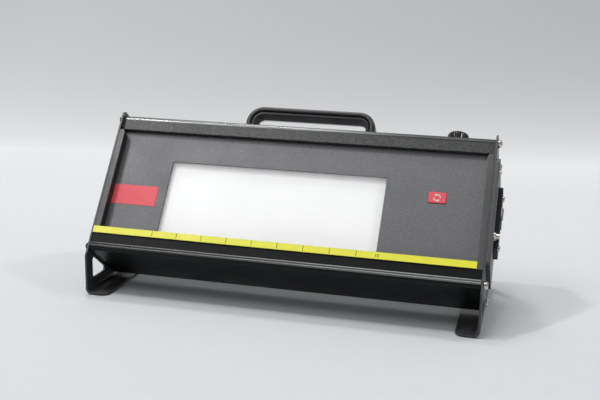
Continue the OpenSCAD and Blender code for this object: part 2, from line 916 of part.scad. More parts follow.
// Control board behind the push button
module control_board() {
    color("#1f6b3a") head() {
        difference() {
            translate([button_x - ctrl_w / 2, board_front, button_v - ctrl_h / 2])
                cube([ctrl_w, board_t, ctrl_h]);
            for (place = ctrl_places) translate([place[0], board_front - overrun, place[1]])
                facing_back() cylinder(r = post_hole_r, h = board_t + 2 * overrun);
        }
        translate([button_x - chip_w / 2, board_front + board_t, button_v - chip_w / 2])
            cube([chip_w, chip_h, chip_w]);
        for (sign = [-1, 1])
            translate([button_x - plug_w / 2, board_front + board_t,
                button_v + sign * (ctrl_h / 2 - plug_h) - plug_h / 2])
                cube([plug_w, plug_d, plug_h]);
    }
}

module control_board_screws() {
    color("#8d9092") head() for (place = ctrl_places)
        translate([place[0], board_front + board_t, place[1]]) facing_back()
            screw(m3_r, m3_head_r, m3_head_h, board_t + m3_head_r);
}

module button_switch() {
    color("#26282a") head() difference() {
        translate([button_x - switch_w / 2, board_front - switch_h, button_v - switch_w / 2])
            cube([switch_w, switch_h, switch_w]);
        translate([button_x, board_front - switch_h - overrun, button_v]) facing_back()
            cylinder(r = plunger_r + fit, h = overrun + plunger_in + button_travel + gap);
    }
}

module button_plunger() {
    color("#c9cbcc") head() translate([button_x, button_back, button_v]) facing_back()
        cylinder(r = plunger_r, h = plunger_out + plunger_in);
}

module window_button() {
    color("#dd2f3a") head() translate([button_x, 0, button_v]) rotate([90, 0, 0]) {
        translate([0, 0, -button_back]) linear_extrude(button_back + button_proud)
            soft_rect(button_w, button_h, button_r);
        translate([0, 0, -button_back]) linear_extrude(button_flange_t)
            soft_rect(button_w + 2 * button_flange, button_h + 2 * button_flange, button_r);
    }
}

// Dimmer: potentiometer, nut, turning shaft and knob
module potentiometer() {
    color("#9b9ea1") head() translate([knob_x, dimmer_d, top_v - wall]) difference() {
        union() {
            translate([0, 0, -pot_h]) cylinder(r = pot_r, h = pot_h);
            cylinder(r = bush_r, h = wall + bush_h);
        }
        translate([0, 0, -pot_h / 2]) cylinder(r = pot_shaft_r + fit, h = pot_h + wall + bush_h);
    }
}

module potentiometer_nut() {
    color("#c3c6c8") head() translate([knob_x, dimmer_d, top_v]) difference() {
        cylinder(r = nut_r, h = nut_h, $fn = 6);
        translate([0, 0, -overrun]) cylinder(r = bush_r + fit, h = nut_h + 2 * overrun);
    }
}

module dimmer_shaft() {
    foot_v = top_v - wall - pot_h / 2 + shaft_end_gap;
    head_v = knob_top - knob_cap_t - shaft_end_gap;
    flat_v = top_v + bush_h + knob_cap_t;
    color("#b7babc") head() translate([knob_x, dimmer_d, 0]) difference() {
        translate([0, 0, foot_v]) cylinder(r = pot_shaft_r, h = head_v - foot_v);
        translate([-pot_shaft_r, pot_shaft_r * flat_share, flat_v])
            cube([2 * pot_shaft_r, pot_shaft_r, head_v - flat_v + overrun]);
    }
}

module dimmer_knob() {
    low = top_v + knob_lift;
    bore_v = top_v + bush_h + knob_cap_t;
    color("#181818") head() translate([knob_x, dimmer_d, 0]) difference() {
        translate([0, 0, low]) rotate_extrude() polygon(rounded(
            [[0, 0], [knob_r, 0], [knob_r, knob_h], [0, knob_h]], [0, 0, knob_edge_r, 0]));
        translate([0, 0, low - overrun]) cylinder(r = knob_cavity_r, h = bore_v - low + overrun);
        difference() {
            translate([0, 0, bore_v - overrun])
                cylinder(r = pot_shaft_r + fit, h = knob_top - knob_cap_t - bore_v + overrun);
            translate([-knob_r, pot_shaft_r * flat_share + fit, bore_v])
                cube([2 * knob_r, knob_r, knob_h]);
        }
        for (i = [1:knob_grooves - 1]) rotate(i * 360 / knob_grooves - 90)
            translate([knob_r + groove_r / 2, 0, low - overrun])
                cylinder(r = groove_r, h = knob_h - knob_edge_r, $fn = 16);
        translate([-pointer_w / 2, -knob_r - overrun, low + knob_edge_r])
            cube([pointer_w, overrun + pointer_in, knob_h]);
    }
}

// Carrying handle: a moulded strap with a ribbed grip on its underside
module handle_outline() {
    half = handle_w / 2;
    inner_r = handle_r - handle_t;
    difference() {
        polygon(rounded([[-half, 0], [half, 0], [half, handle_h], [-half, handle_h]],
            [0, 0, handle_r, handle_r]));
        polygon(rounded(
            [[handle_t - half, -overrun], [half - handle_t, -overrun],
                [half - handle_t, handle_h - handle_t], [handle_t - half, handle_h - handle_t]],
            [0, 0, inner_r, inner_r]));
    }
}

module carrying_handle() {
    rib_w = handle_d * rib_w_share;
    rib_l = handle_w - 2 * handle_r;
    color("#1f2021") head() translate([0, 0, top_v]) difference() {
        union() {
            between_y(handle_c - handle_d / 2, handle_c + handle_d / 2) handle_outline();
            translate([-rib_l / 2, handle_c - rib_w / 2, handle_h - handle_t - rib_h])
                cube([rib_l, rib_w, rib_h + overrun]);
        }
        for (sign = [-1, 1]) translate([sign * handle_leg_x, handle_c, -overrun])
            cylinder(r = handle_screw_r + fit, h = handle_screw_l + 2 * overrun);
    }
}

module handle_screws() {
    color("#8d9092") head() for (sign = [-1, 1])
        translate([sign * handle_leg_x, handle_c, top_v - wall]) rotate([180, 0, 0])
            screw(handle_screw_r, handle_head_r, handle_head_h, handle_screw_l + wall);
}

// Connector cover on the right bracket
module connector_cover() {
    middle = [plate_front_d + plate_back_d, plate_low_v + plate_top_v] / 2;
    color("#303234") head() difference() {
        between_x(side_x, plate_x) translate(middle)
            soft_rect(plate_back_d - plate_front_d, plate_top_v - plate_low_v, plate_r);
        translate([(side_x + plate_x) / 2, module_d, module_v])
            cube([plate_t + 2 * overrun, module_body_w + 2 * gap, module_body_h + 2 * gap], center = true);
        translate([side_x - overrun, 0, 0]) {
            translate([0, jack_d, jack_v]) rotate([0, 90, 0])
                cylinder(r = jack_barrel_r + fit, h = plate_t + 2 * overrun);
            for (place = concat(plate_screw_places, module_screw_places))
                translate([0, place[0], place[1]]) rotate([0, 90, 0])
                    cylinder(r = m3_r + fit, h = plate_t + 2 * overrun);
        }
    }
}

module connector_cover_screws() {
    color("#b9bbbd") head() for (place = plate_screw_places)
        translate([plate_x, place[0], place[1]]) facing_right()
            screw(m3_r, m3_head_r, m3_head_h, plate_t + side_t);
}

// Power module: inlet, fuse drawer and rocker in one moulded body
module inlet_outline(play) {
    w = inlet_w + 2 * play;
    h = inlet_h + 2 * play;
    polygon([[-w / 2, -h / 2], [w / 2, -h / 2], [w / 2, h / 2 - inlet_cut], [w / 2 - inlet_cut, h / 2],
        [inlet_cut - w / 2, h / 2], [-w / 2, h / 2 - inlet_cut]]);
}

module power_module() {
    color("#131313") head() difference() {
        translate([0, module_d, module_v]) union() {
            between_x(plate_x, module_face) soft_rect(module_w, module_h, module_r);
            translate([plate_x - module_l, 0, 0])
                cube_on_row([module_l, module_body_w, module_body_h]);
        }
        translate([0, module_d, module_v + inlet_dv])
            between_x(module_face - inlet_l, module_face + overrun) inlet_outline(0);
        for (place = inlet_blades) translate([plate_x - module_l - overrun, place[0], place[1]])
            cube_on_row([module_l, place[2] + 2 * fit, place[3] + 2 * fit]);
        translate([module_face - drawer_l - drawer_play, module_d - drawer_w / 2 - drawer_play,
            module_v + drawer_dv - drawer_h / 2 - drawer_play])
            cube([drawer_l + drawer_play + overrun, drawer_w + 2 * drawer_play,
                drawer_h + 2 * drawer_play]);
        translate([module_face - rocker_deep, module_d - rocker_w / 2 - rocker_play,
            module_v + rocker_dv - rocker_h / 2 - rocker_play])
            cube([rocker_deep + overrun, rocker_w + 2 * rocker_play, rocker_h + 2 * rocker_play]);
        translate([module_face - rocker_pivot_in, module_d, module_v + rocker_dv])
            cylinder(r = rocker_pin_r + fit, h = rocker_h + 2 * (rocker_play + rocker_pin_out),
                center = true);
        for (place = module_screw_places) translate([plate_x - overrun, place[0], place[1]])
            rotate([0, 90, 0]) cylinder(r = m3_r + fit, h = module_flange_t + 2 * overrun);
    }
}

module power_module_screws() {
    color("#c8cacc") head() for (place = module_screw_places)
        translate([module_face, place[0], place[1]]) facing_right()
            screw(m3_r, m3_head_r, m3_head_h, module_flange_t + plate_t);
}

module inlet_pins() {
    tail = plate_x - module_l - blade_row;
    color("#c9b26a") head() for (place = inlet_blades)
        translate([tail, place[0], place[1]])
            cube_on_row([module_face - inlet_l + blade_out - tail, place[2], place[3]]);
}

module fuse_drawer() {
    pocket = 2 * fuse_r + 2 * gap;
    back_x = module_face - drawer_l;
    color("#1b1b1b") head() translate([back_x, module_d, module_v + drawer_dv]) difference() {
        cube_on_row([drawer_l + drawer_lip, drawer_w, drawer_h]);
        translate([drawer_h / 2, -fuse_l / 2 - gap, fuse_floor - drawer_h / 2])
            cube([pocket, fuse_l + 2 * gap, drawer_h]);
    }
}

module fuse() {
    color("#d8dcdc") head()
        translate([module_face - drawer_l + drawer_h / 2 + fuse_r + gap, module_d + fuse_l / 2,
            module_v + drawer_dv - drawer_h / 2 + fuse_floor + fuse_r])
            rotate([90, 0, 0]) cylinder(r = fuse_r, h = fuse_l);
}

// Rocker at rest on its back half, so that it can swing twice the tilt
module power_rocker() {
    color("#101010") head() translate([module_face - rocker_pivot_in, module_d, module_v + rocker_dv])
        rotate([0, 0, -rocker_tilt]) {
            translate([0, 0, -rocker_h / 2]) linear_extrude(rocker_h) polygon(
                [[rocker_crown, -rocker_w / 2], [rocker_waist, 0], [rocker_crown, rocker_w / 2],
                    [-rocker_waist, rocker_w / 2], [-rocker_sole, rocker_sole],
                    [-rocker_sole, -rocker_sole], [-rocker_waist, -rocker_w / 2]]);
            cylinder(r = rocker_pin_r, h = rocker_h + 2 * rocker_pin_out, center = true);
        }
}

// Jack for a foot switch
module foot_jack() {
    color("#b3b6b8") head() translate([0, jack_d, jack_v]) difference() {
        union() {
            translate([side_in - jack_in, 0, 0]) cube_on_row([jack_in, jack_body_w, jack_body_w]);
            translate([side_in, 0, 0]) facing_right()
                cylinder(r = jack_barrel_r, h = plate_x + jack_out - side_in);
        }
        translate([plate_x + jack_out - jack_bore_l, 0, 0]) facing_right()
            cylinder(r = jack_r, h = jack_bore_l + overrun);
    }
}

module foot_jack_nut() {
    color("#c8cacc") head() translate([plate_x, jack_d, jack_v]) facing_right() difference() {
        cylinder(r = jack_nut_r, h = jack_nut_h);
        translate([0, 0, -overrun]) cylinder(r = jack_barrel_r + fit, h = jack_nut_h + 2 * overrun);
        translate([0, 0, jack_nut_h])
            cube([2 * jack_nut_r + overrun, nut_slot_w, jack_nut_h], center = true);
    }
}

module end_screws(sign) {
    head() side(sign) for (place = port_places) translate([side_x, place[0], place[1]])
        facing_right() screw(m4_r, m4_head_r, m4_head_h, end_screw_l);
}

module end_screws_left() {
    color("#1d1d1d") end_screws(-1);
}

module end_screws_right() {
    color("#c8cacc") end_screws(1);
}

side_bracket_left();
side_bracket_right();
foot_pad_left();
foot_pad_right();
top_profile();
bottom_profile();
rear_cover();
front_panel();
edge_guide_left();
edge_guide_right();
scale_strip();
blank_label();
window_glass();
diffuser();
light_box();
led_board();
leds();
heat_sink();
light_box_screws();
fan_frame_left();
fan_frame_right();
fan_rotor_left();
fan_rotor_right();
fan_screws();
power_supply();
power_supply_screws();
control_board();
control_board_screws();
button_switch();
button_plunger();
window_button();
potentiometer();
potentiometer_nut();
dimmer_shaft();
dimmer_knob();
carrying_handle();
handle_screws();
connector_cover();
connector_cover_screws();
power_module();
power_module_screws();
inlet_pins();
fuse_drawer();
fuse();
power_rocker();
foot_jack();
foot_jack_nut();
end_screws_left();
end_screws_right();
rear_cover_screws();
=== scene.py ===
"""Looks of a tilted LED film viewer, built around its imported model. Everything is in metres."""
import json
import math

import bmesh
import bpy
from mathutils import Matrix, Vector


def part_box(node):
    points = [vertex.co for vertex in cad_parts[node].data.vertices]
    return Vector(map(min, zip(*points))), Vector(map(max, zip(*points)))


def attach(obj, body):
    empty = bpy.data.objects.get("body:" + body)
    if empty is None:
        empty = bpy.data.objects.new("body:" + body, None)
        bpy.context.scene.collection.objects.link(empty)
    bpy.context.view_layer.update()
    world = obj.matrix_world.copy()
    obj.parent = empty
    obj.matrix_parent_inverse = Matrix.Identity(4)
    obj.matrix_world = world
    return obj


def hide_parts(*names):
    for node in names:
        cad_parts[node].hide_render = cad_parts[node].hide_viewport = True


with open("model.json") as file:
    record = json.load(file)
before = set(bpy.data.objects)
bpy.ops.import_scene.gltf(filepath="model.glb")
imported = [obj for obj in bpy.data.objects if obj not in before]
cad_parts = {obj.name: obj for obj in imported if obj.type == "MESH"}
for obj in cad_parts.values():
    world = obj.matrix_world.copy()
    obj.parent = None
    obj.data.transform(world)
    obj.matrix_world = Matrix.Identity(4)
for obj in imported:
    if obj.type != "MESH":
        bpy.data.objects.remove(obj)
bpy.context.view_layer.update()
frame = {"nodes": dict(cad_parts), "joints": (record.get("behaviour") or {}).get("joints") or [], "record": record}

MM = 0.001

# Axes of the leaned head, from the joints that turn and slide in it
JOINTS = {joint["name"]: joint for joint in frame["joints"]}
UP_PANEL = Vector(JOINTS["dimmer_turn"]["axis"]).normalized()
INTO_PANEL = Vector(JOINTS["button_press"]["axis"]).normalized()
ALONG = Vector((1, 0, 0))

# Head coordinates: along the viewer, depth behind the panel's face, height up the panel
FOOT_LINE = Vector((-3.1, -53.6, 55.3)) * MM
HEAD = Matrix.Translation(FOOT_LINE) @ Matrix((ALONG, INTO_PANEL, UP_PANEL)).transposed().to_4x4()
TOP_V = 134 * MM
FLANGE_PROUD = 9.6 * MM
STRIP_T = 0.6 * MM
STRIP_H = 6.7 * MM
INCH = 25.4 * MM
QUARTER = math.pi / 2

# How near vertices weld in new pieces and in copies of nodes, and how flat dissolved faces are
WELD = 0.002 * MM
NODE_WELD = 0.004 * MM
FLAT_WITHIN = math.radians(0.6)

# Least angle of a corner that is rounded
CORNER_ANGLE = math.radians(30)

# Steepest angle that is still shaded smooth, in general, on small forms and on the knob's flutes
SMOOTH = math.radians(40)
SMOOTH_FINE = math.radians(30)
SMOOTH_KNOB = math.radians(28)


def in_head(point):
    """Place in the leaned head of a point in the part's frame."""
    return HEAD.inverted() @ Vector(point)


# Selecting and shaping

def deselect():
    bpy.ops.object.select_all(action="DESELECT")


def pick(piece):
    deselect()
    piece.select_set(True)
    bpy.context.view_layer.objects.active = piece


def named(name):
    """Names the object that the last operator made."""
    piece = bpy.context.object
    piece.name = name
    piece.data.name = name
    return piece


def edit(piece, all_selected=True):
    pick(piece)
    bpy.ops.object.mode_set(mode="EDIT")
    bpy.ops.mesh.select_all(action="SELECT" if all_selected else "DESELECT")


def leave_edit():
    bpy.ops.object.mode_set(mode="OBJECT")


def select_verts(piece, test):
    """Selects the vertices of the piece in edit mode that pass the test."""
    bpy.ops.mesh.select_mode(type="VERT")
    mesh = bmesh.from_edit_mesh(piece.data)
    for vert in mesh.verts:
        vert.select = test(vert)
    mesh.select_flush_mode()
    bmesh.update_edit_mesh(piece.data)


def select_faces(piece, test):
    """Selects the faces of the piece in edit mode that pass the test."""
    bpy.ops.mesh.select_mode(type="FACE")
    mesh = bmesh.from_edit_mesh(piece.data)
    for face in mesh.faces:
        face.select = False
    for face in mesh.faces:
        if test(face):
            face.select = True
    mesh.select_flush_mode()
    bmesh.update_edit_mesh(piece.data)


def push(offset):
    """Extrudes what is selected by an offset."""
    bpy.ops.mesh.extrude_region_move(TRANSFORM_OT_translate={"value": offset})


def settle(piece, matrix=HEAD):
    """Brings a piece from the axes it was drawn in to the part's frame, with its place in its mesh."""
    pick(piece)
    piece.matrix_world = matrix @ piece.matrix_world
    bpy.ops.object.transform_apply(location=True, rotation=True, scale=True)


def outwards(piece):
    """Welds the piece and turns its faces outwards."""
    edit(piece)
    bpy.ops.mesh.remove_doubles(threshold=WELD)
    bpy.ops.mesh.normals_make_consistent(inside=False)
    leave_edit()


def rounded(piece, width):
    """Rounds the piece's corners and shades it by angle."""
    pick(piece)
    bevel = piece.modifiers.new("corners", "BEVEL")
    bevel.width = width
    bevel.segments = 2
    bevel.limit_method = "ANGLE"
    bevel.angle_limit = CORNER_ANGLE
    bevel.use_clamp_overlap = False
    bpy.ops.object.modifier_apply(modifier=bevel.name)
    bpy.ops.object.shade_smooth_by_angle(angle=SMOOTH)
    flat = piece.modifiers.new("flat_faces", "WEIGHTED_NORMAL")
    flat.keep_sharp = True
    bpy.ops.object.modifier_apply(modifier=flat.name)


def copied(piece, matrix):
    """Copy with its own mesh, put in its place by a matrix."""
    pick(piece)
    bpy.ops.object.duplicate()
    twin = named(piece.name + "_copy")
    twin.matrix_world = matrix @ twin.matrix_world
    bpy.ops.object.transform_apply(location=True, rotation=True, scale=True)
    return twin


def joined(pieces, name):
    """Makes several pieces one."""
    deselect()
    for piece in pieces:
        piece.select_set(True)
    bpy.context.view_layer.objects.active = pieces[0]
    bpy.ops.object.join()
    return named(name)


def softened(node, width):
    """Copy of a CAD node with its corners rounded, which stands for that node."""
    piece = bpy.data.objects.new(node + "_soft", frame["nodes"][node].data.copy())
    bpy.context.collection.objects.link(piece)
    piece.matrix_world = frame["nodes"][node].matrix_world
    edit(piece)
    bpy.ops.mesh.customdata_custom_splitnormals_clear()
    bpy.ops.mesh.remove_doubles(threshold=NODE_WELD)
    bpy.ops.mesh.dissolve_limited(angle_limit=FLAT_WITHIN)
    leave_edit()
    rounded(piece, width)
    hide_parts(node)
    return piece


def dress(piece, material, body="root"):
    """Gives a new piece its finish and the body that it moves with."""
    piece.data.materials.clear()
    piece.data.materials.append(material)
    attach(piece, body)


# Effects that more than one finish uses

# Height of each texture's relief
POWDER_RELIEF = 0.12 * MM
DRAWN_RELIEF = 0.05 * MM
MOULDED_RELIEF = 0.06 * MM

# Stretch of the drawn lines' noise along the viewer and across it
DRAWN_STRETCH = (3.0, 1400.0, 1400.0)

# Scale of the noise that breaks up worn edges, and how sharp an edge is where wear starts and is full
WEAR_BREAKS = 420.0
WEAR_STARTS = 0.53
WEAR_FULL = 0.62


def effect(name, inputs, outputs):
    """Node group with number inputs: the group, its input node and its output node."""
    tree = bpy.data.node_groups.new(name, "ShaderNodeTree")
    for label, value in inputs:
        socket = tree.interface.new_socket(name=label, in_out="INPUT", socket_type="NodeSocketFloat")
        socket.default_value = value
    for label, kind in outputs:
        tree.interface.new_socket(name=label, in_out="OUTPUT", socket_type=kind)
    return tree, tree.nodes.new("NodeGroupInput"), tree.nodes.new("NodeGroupOutput")


def noise(tree, vector, scale, detail=3.0, roughness=0.5):
    node = tree.nodes.new("ShaderNodeTexNoise")
    node.inputs["Detail"].default_value = detail
    node.inputs["Roughness"].default_value = roughness
    tree.links.new(vector, node.inputs["Vector"])
    if isinstance(scale, (int, float)):
        node.inputs["Scale"].default_value = scale
    else:
        tree.links.new(scale, node.inputs["Scale"])
    return node.outputs["Fac"]


def ramp(tree, value, low, high, start=0.0, end=1.0):
    """Maps a value from low..high to start..end, held at both ends."""
    node = tree.nodes.new("ShaderNodeMapRange")
    node.inputs["From Min"].default_value = low
    node.inputs["From Max"].default_value = high
    node.inputs["To Min"].default_value = start
    node.inputs["To Max"].default_value = end
    tree.links.new(value, node.inputs["Value"])
    return node.outputs["Result"]


def sums(tree, kind, one, two):
    """Sum, product or other mathematics of two values, each a socket or a number."""
    node = tree.nodes.new("ShaderNodeMath")
    node.operation = kind
    for index, value in enumerate((one, two)):
        if isinstance(value, (int, float)):
            node.inputs[index].default_value = value
        else:
            tree.links.new(value, node.inputs[index])
    return node.outputs["Value"]


def bump(tree, height, strength, distance):
    node = tree.nodes.new("ShaderNodeBump")
    node.inputs["Distance"].default_value = distance
    tree.links.new(height, node.inputs["Height"])
    if isinstance(strength, (int, float)):
        node.inputs["Strength"].default_value = strength
    else:
        tree.links.new(strength, node.inputs["Strength"])
    return node.outputs["Normal"]


def place_of(tree):
    return tree.nodes.new("ShaderNodeTexCoord").outputs["Object"]


def axes_of(tree, vector):
    """The X, Y and Z of a vector, as outputs of those names."""
    node = tree.nodes.new("ShaderNodeSeparateXYZ")
    tree.links.new(vector, node.inputs["Vector"])
    return node.outputs


def stretched(tree, vector, scale):
    node = tree.nodes.new("ShaderNodeMapping")
    node.inputs["Scale"].default_value = scale
    tree.links.new(vector, node.inputs["Vector"])
    return node.outputs["Vector"]


def make_powder_grain():
    """Pebbled surface of textured powder paint: a tone of light and dark grains and their relief."""
    tree, start, end = effect("powder_grain", [("Scale", 900.0), ("Depth", 0.5)],
                              [("Tone", "NodeSocketFloat"), ("Normal", "NodeSocketVector")])
    place = place_of(tree)
    grains = tree.nodes.new("ShaderNodeTexVoronoi")
    tree.links.new(place, grains.inputs["Vector"])
    tree.links.new(start.outputs["Scale"], grains.inputs["Scale"])
    soft = noise(tree, place, start.outputs["Scale"], 2.0, 0.6)
    height = sums(tree, "ADD", sums(tree, "MULTIPLY", grains.outputs["Distance"], 0.6), soft)
    tree.links.new(ramp(tree, height, 0.45, 1.15), end.inputs["Tone"])
    tree.links.new(bump(tree, height, start.outputs["Depth"], POWDER_RELIEF), end.inputs["Normal"])
    return tree


def make_handling_marks():
    """Faint cloudy patches and a few rubbed spots, where hands and cloths have been."""
    tree, start, end = effect("handling_marks", [("Scale", 24.0)], [("Marks", "NodeSocketFloat")])
    place = place_of(tree)
    clouds = noise(tree, place, start.outputs["Scale"], 4.0, 0.55)
    spots = noise(tree, place, sums(tree, "MULTIPLY", start.outputs["Scale"], 9.0), 2.0, 0.5)
    both = sums(tree, "ADD", sums(tree, "MULTIPLY", clouds, 0.75), sums(tree, "MULTIPLY", spots, 0.25))
    tree.links.new(ramp(tree, both, 0.35, 0.65), end.inputs["Marks"])
    return tree


def make_edge_wear():
    """Mask of rubbed outer edges, broken up by a fine noise."""
    tree, start, end = effect("edge_wear", [("Reach", 0.5)], [("Wear", "NodeSocketFloat")])
    edges = tree.nodes.new("ShaderNodeNewGeometry").outputs["Pointiness"]
    broken = ramp(tree, noise(tree, place_of(tree), WEAR_BREAKS, 3.0, 0.6), 0.42, 0.62)
    sharp = ramp(tree, edges, WEAR_STARTS, WEAR_FULL)
    worn = sums(tree, "MULTIPLY", sums(tree, "MULTIPLY", sharp, broken), start.outputs["Reach"])
    tree.links.new(worn, end.inputs["Wear"])
    return tree


def make_drawn_lines():
    """Fine lines along the viewer, as an extrusion leaves its die."""
    tree, start, end = effect("drawn_lines", [("Depth", 0.3)],
                              [("Tone", "NodeSocketFloat"), ("Normal", "NodeSocketVector")])
    lines = noise(tree, stretched(tree, place_of(tree), DRAWN_STRETCH), 1.0, 3.0, 0.6)
    tree.links.new(ramp(tree, lines, 0.3, 0.7), end.inputs["Tone"])
    tree.links.new(bump(tree, lines, start.outputs["Depth"], DRAWN_RELIEF), end.inputs["Normal"])
    return tree


def make_moulded_grain():
    """Very fine leathery grain of moulded plastic and rubber."""
    tree, start, end = effect("moulded_grain", [("Scale", 1500.0), ("Depth", 0.25)],
                              [("Tone", "NodeSocketFloat"), ("Normal", "NodeSocketVector")])
    grain = noise(tree, place_of(tree), start.outputs["Scale"], 3.0, 0.65)
    tree.links.new(ramp(tree, grain, 0.3, 0.7), end.inputs["Tone"])
    tree.links.new(bump(tree, grain, start.outputs["Depth"], MOULDED_RELIEF), end.inputs["Normal"])
    return tree


POWDER_GRAIN = make_powder_grain()
HANDLING_MARKS = make_handling_marks()
EDGE_WEAR = make_edge_wear()
DRAWN_LINES = make_drawn_lines()
MOULDED_GRAIN = make_moulded_grain()


# Finishes

# Stretch along the rail over which the painted highlight on its edge, light metal, turns back to paint,
# how metallic the edge is, and how much rougher the paint
HIGHLIGHT_FADES = 0 * MM
HIGHLIGHT_ENDS = 115 * MM
HIGHLIGHT_METALLIC = 0.8
PAINT_DULLER = 0.14

# Stretch along the ledge over which the beads' colour is painted lighter towards the right, a painted highlight,
# and how far
BEAD_HIGHLIGHT_STARTS = -190 * MM
BEAD_HIGHLIGHT_ENDS = 190 * MM
BEAD_HIGHLIGHT_SHARE = 0.62

# Upward share of a face's direction at which a finish has its lower and its upper sheen
FACES_DOWN = -0.3
FACES_UP = 0.5

# Size of the handling marks, and how dark and how strong the soil in them is
MARKS_SCALE = 24.0
SOIL_TONE = 0.82
SOIL_SHARE = 0.25

# Colour sockets of the mix node
COLOR_ONE = 6
COLOR_TWO = 7
COLOR_MIX = 2


def blank_finish(name):
    """New material: itself, its node tree and its shader."""
    material = bpy.data.materials.new(name)
    material.use_nodes = True
    tree = material.node_tree
    return material, tree, tree.nodes["Principled BSDF"]


def placed(tree, group, **values):
    """Puts a shared effect into a finish and gives back its outputs."""
    node = tree.nodes.new("ShaderNodeGroup")
    node.node_tree = group
    for label, value in values.items():
        node.inputs[label].default_value = value
    return node.outputs


def blend_colors(tree, mask, one, two):
    """Mix by a mask of two colours, each a socket or red, green and blue."""
    node = tree.nodes.new("ShaderNodeMix")
    node.data_type = "RGBA"
    tree.links.new(mask, node.inputs["Factor"])
    for socket, color in ((node.inputs[COLOR_ONE], one), (node.inputs[COLOR_TWO], two)):
        if isinstance(color, tuple):
            socket.default_value = (*color, 1.0)
        else:
            tree.links.new(color, socket)
    return node.outputs[COLOR_MIX]


def show_mix(tree, mask, one, two):
    """Shows the mix of two shaders by a mask on the surface."""
    mix = tree.nodes.new("ShaderNodeMixShader")
    for socket, value in zip(mix.inputs, (mask, one, two)):
        tree.links.new(value, socket)
    tree.links.new(mix.outputs["Shader"], tree.nodes["Material Output"].inputs["Surface"])


def surface(name, dark, light, rough, texture, values, metallic=0.0, wear=None, reach=0.5,
            marks=MARKS_SCALE, sheen=(0.5, 0.5)):
    """Finish with a two-tone texture, patchy roughness and, if given a wear colour, rubbed edges.

    The sheen is the specular level of faces that look down and of faces that look up.
    """
    material, tree, shader = blank_finish(name)
    grain = placed(tree, texture, **values)
    patches = placed(tree, HANDLING_MARKS, Scale=marks)["Marks"]
    color = blend_colors(tree, grain["Tone"], dark, light)
    soiled = tuple(channel * SOIL_TONE for channel in dark)
    color = blend_colors(tree, ramp(tree, patches, 0.0, 1.0, 0.0, SOIL_SHARE), color, soiled)
    if wear:
        color = blend_colors(tree, placed(tree, EDGE_WEAR, Reach=reach)["Wear"], color, wear)
    tree.links.new(color, shader.inputs["Base Color"])
    tree.links.new(ramp(tree, patches, 0.0, 1.0, rough[0], rough[1]), shader.inputs["Roughness"])
    tree.links.new(grain["Normal"], shader.inputs["Normal"])
    shader.inputs["Metallic"].default_value = metallic
    if sheen[0] == sheen[1]:
        shader.inputs["Specular IOR Level"].default_value = sheen[0]
    else:
        facing = axes_of(tree, tree.nodes.new("ShaderNodeNewGeometry").outputs["Normal"])
        tree.links.new(ramp(tree, facing["Z"], FACES_DOWN, FACES_UP, *sheen),
                       shader.inputs["Specular IOR Level"])
    return material


def grey_texture_paint():
    return surface("grey_texture_paint", (0.084, 0.085, 0.091), (0.186, 0.188, 0.200), (0.40, 0.50),
                   POWDER_GRAIN, {"Scale": 1100.0, "Depth": 0.55}, metallic=0.25,
                   wear=(0.30, 0.30, 0.31), reach=0.3, sheen=(1.0, 1.0))


def black_powder_coat():
    return surface("black_powder_coat", (0.016, 0.017, 0.017), (0.062, 0.064, 0.065), (0.34, 0.46),
                   POWDER_GRAIN, {"Scale": 1300.0, "Depth": 0.5}, wear=(0.26, 0.26, 0.26), reach=0.4,
                   sheen=(0.3, 1.0))


def rail_paint():
    return surface("rail_paint", (0.006, 0.007, 0.007), (0.034, 0.036, 0.035), (0.34, 0.44),
                   POWDER_GRAIN, {"Scale": 1500.0, "Depth": 0.55}, wear=(0.35, 0.35, 0.35), reach=0.4,
                   sheen=(0.3, 0.58))


def black_anodised():
    return surface("black_anodised", (0.010, 0.011, 0.011), (0.026, 0.027, 0.027), (0.28, 0.40),
                   DRAWN_LINES, {"Depth": 0.35}, metallic=0.35, wear=(0.3, 0.3, 0.29), reach=0.5)


def lip_anodised():
    """Satin black of the lower extrusion, darker and softer than the rest."""
    return surface("lip_anodised", (0.005, 0.006, 0.006), (0.012, 0.013, 0.013), (0.36, 0.46),
                   DRAWN_LINES, {"Depth": 0.3}, sheen=(0.18, 0.17))


def rubbed_anodised():
    """Anodising of the ledge's beads, lighter than the lip as a painted highlight, and lighter still towards the
    right.
    """
    material = surface("rubbed_anodised", (0.026, 0.028, 0.026), (0.056, 0.059, 0.055), (0.30, 0.40),
                       DRAWN_LINES, {"Depth": 0.4}, metallic=0.5, wear=(0.30, 0.30, 0.29), reach=0.6,
                       sheen=(0.4, 0.9))
    tree = material.node_tree
    base = tree.nodes["Principled BSDF"].inputs["Base Color"]
    along = axes_of(tree, place_of(tree))["X"]
    # Painted highlight: the beads' colour lightens from left to right along the ledge
    painted_highlight = ramp(tree, along, BEAD_HIGHLIGHT_STARTS, BEAD_HIGHLIGHT_ENDS, 0.0, BEAD_HIGHLIGHT_SHARE)
    under_highlight = base.links[0].from_socket
    tree.links.new(blend_colors(tree, painted_highlight, under_highlight, (0.30, 0.31, 0.29)), base)
    return material


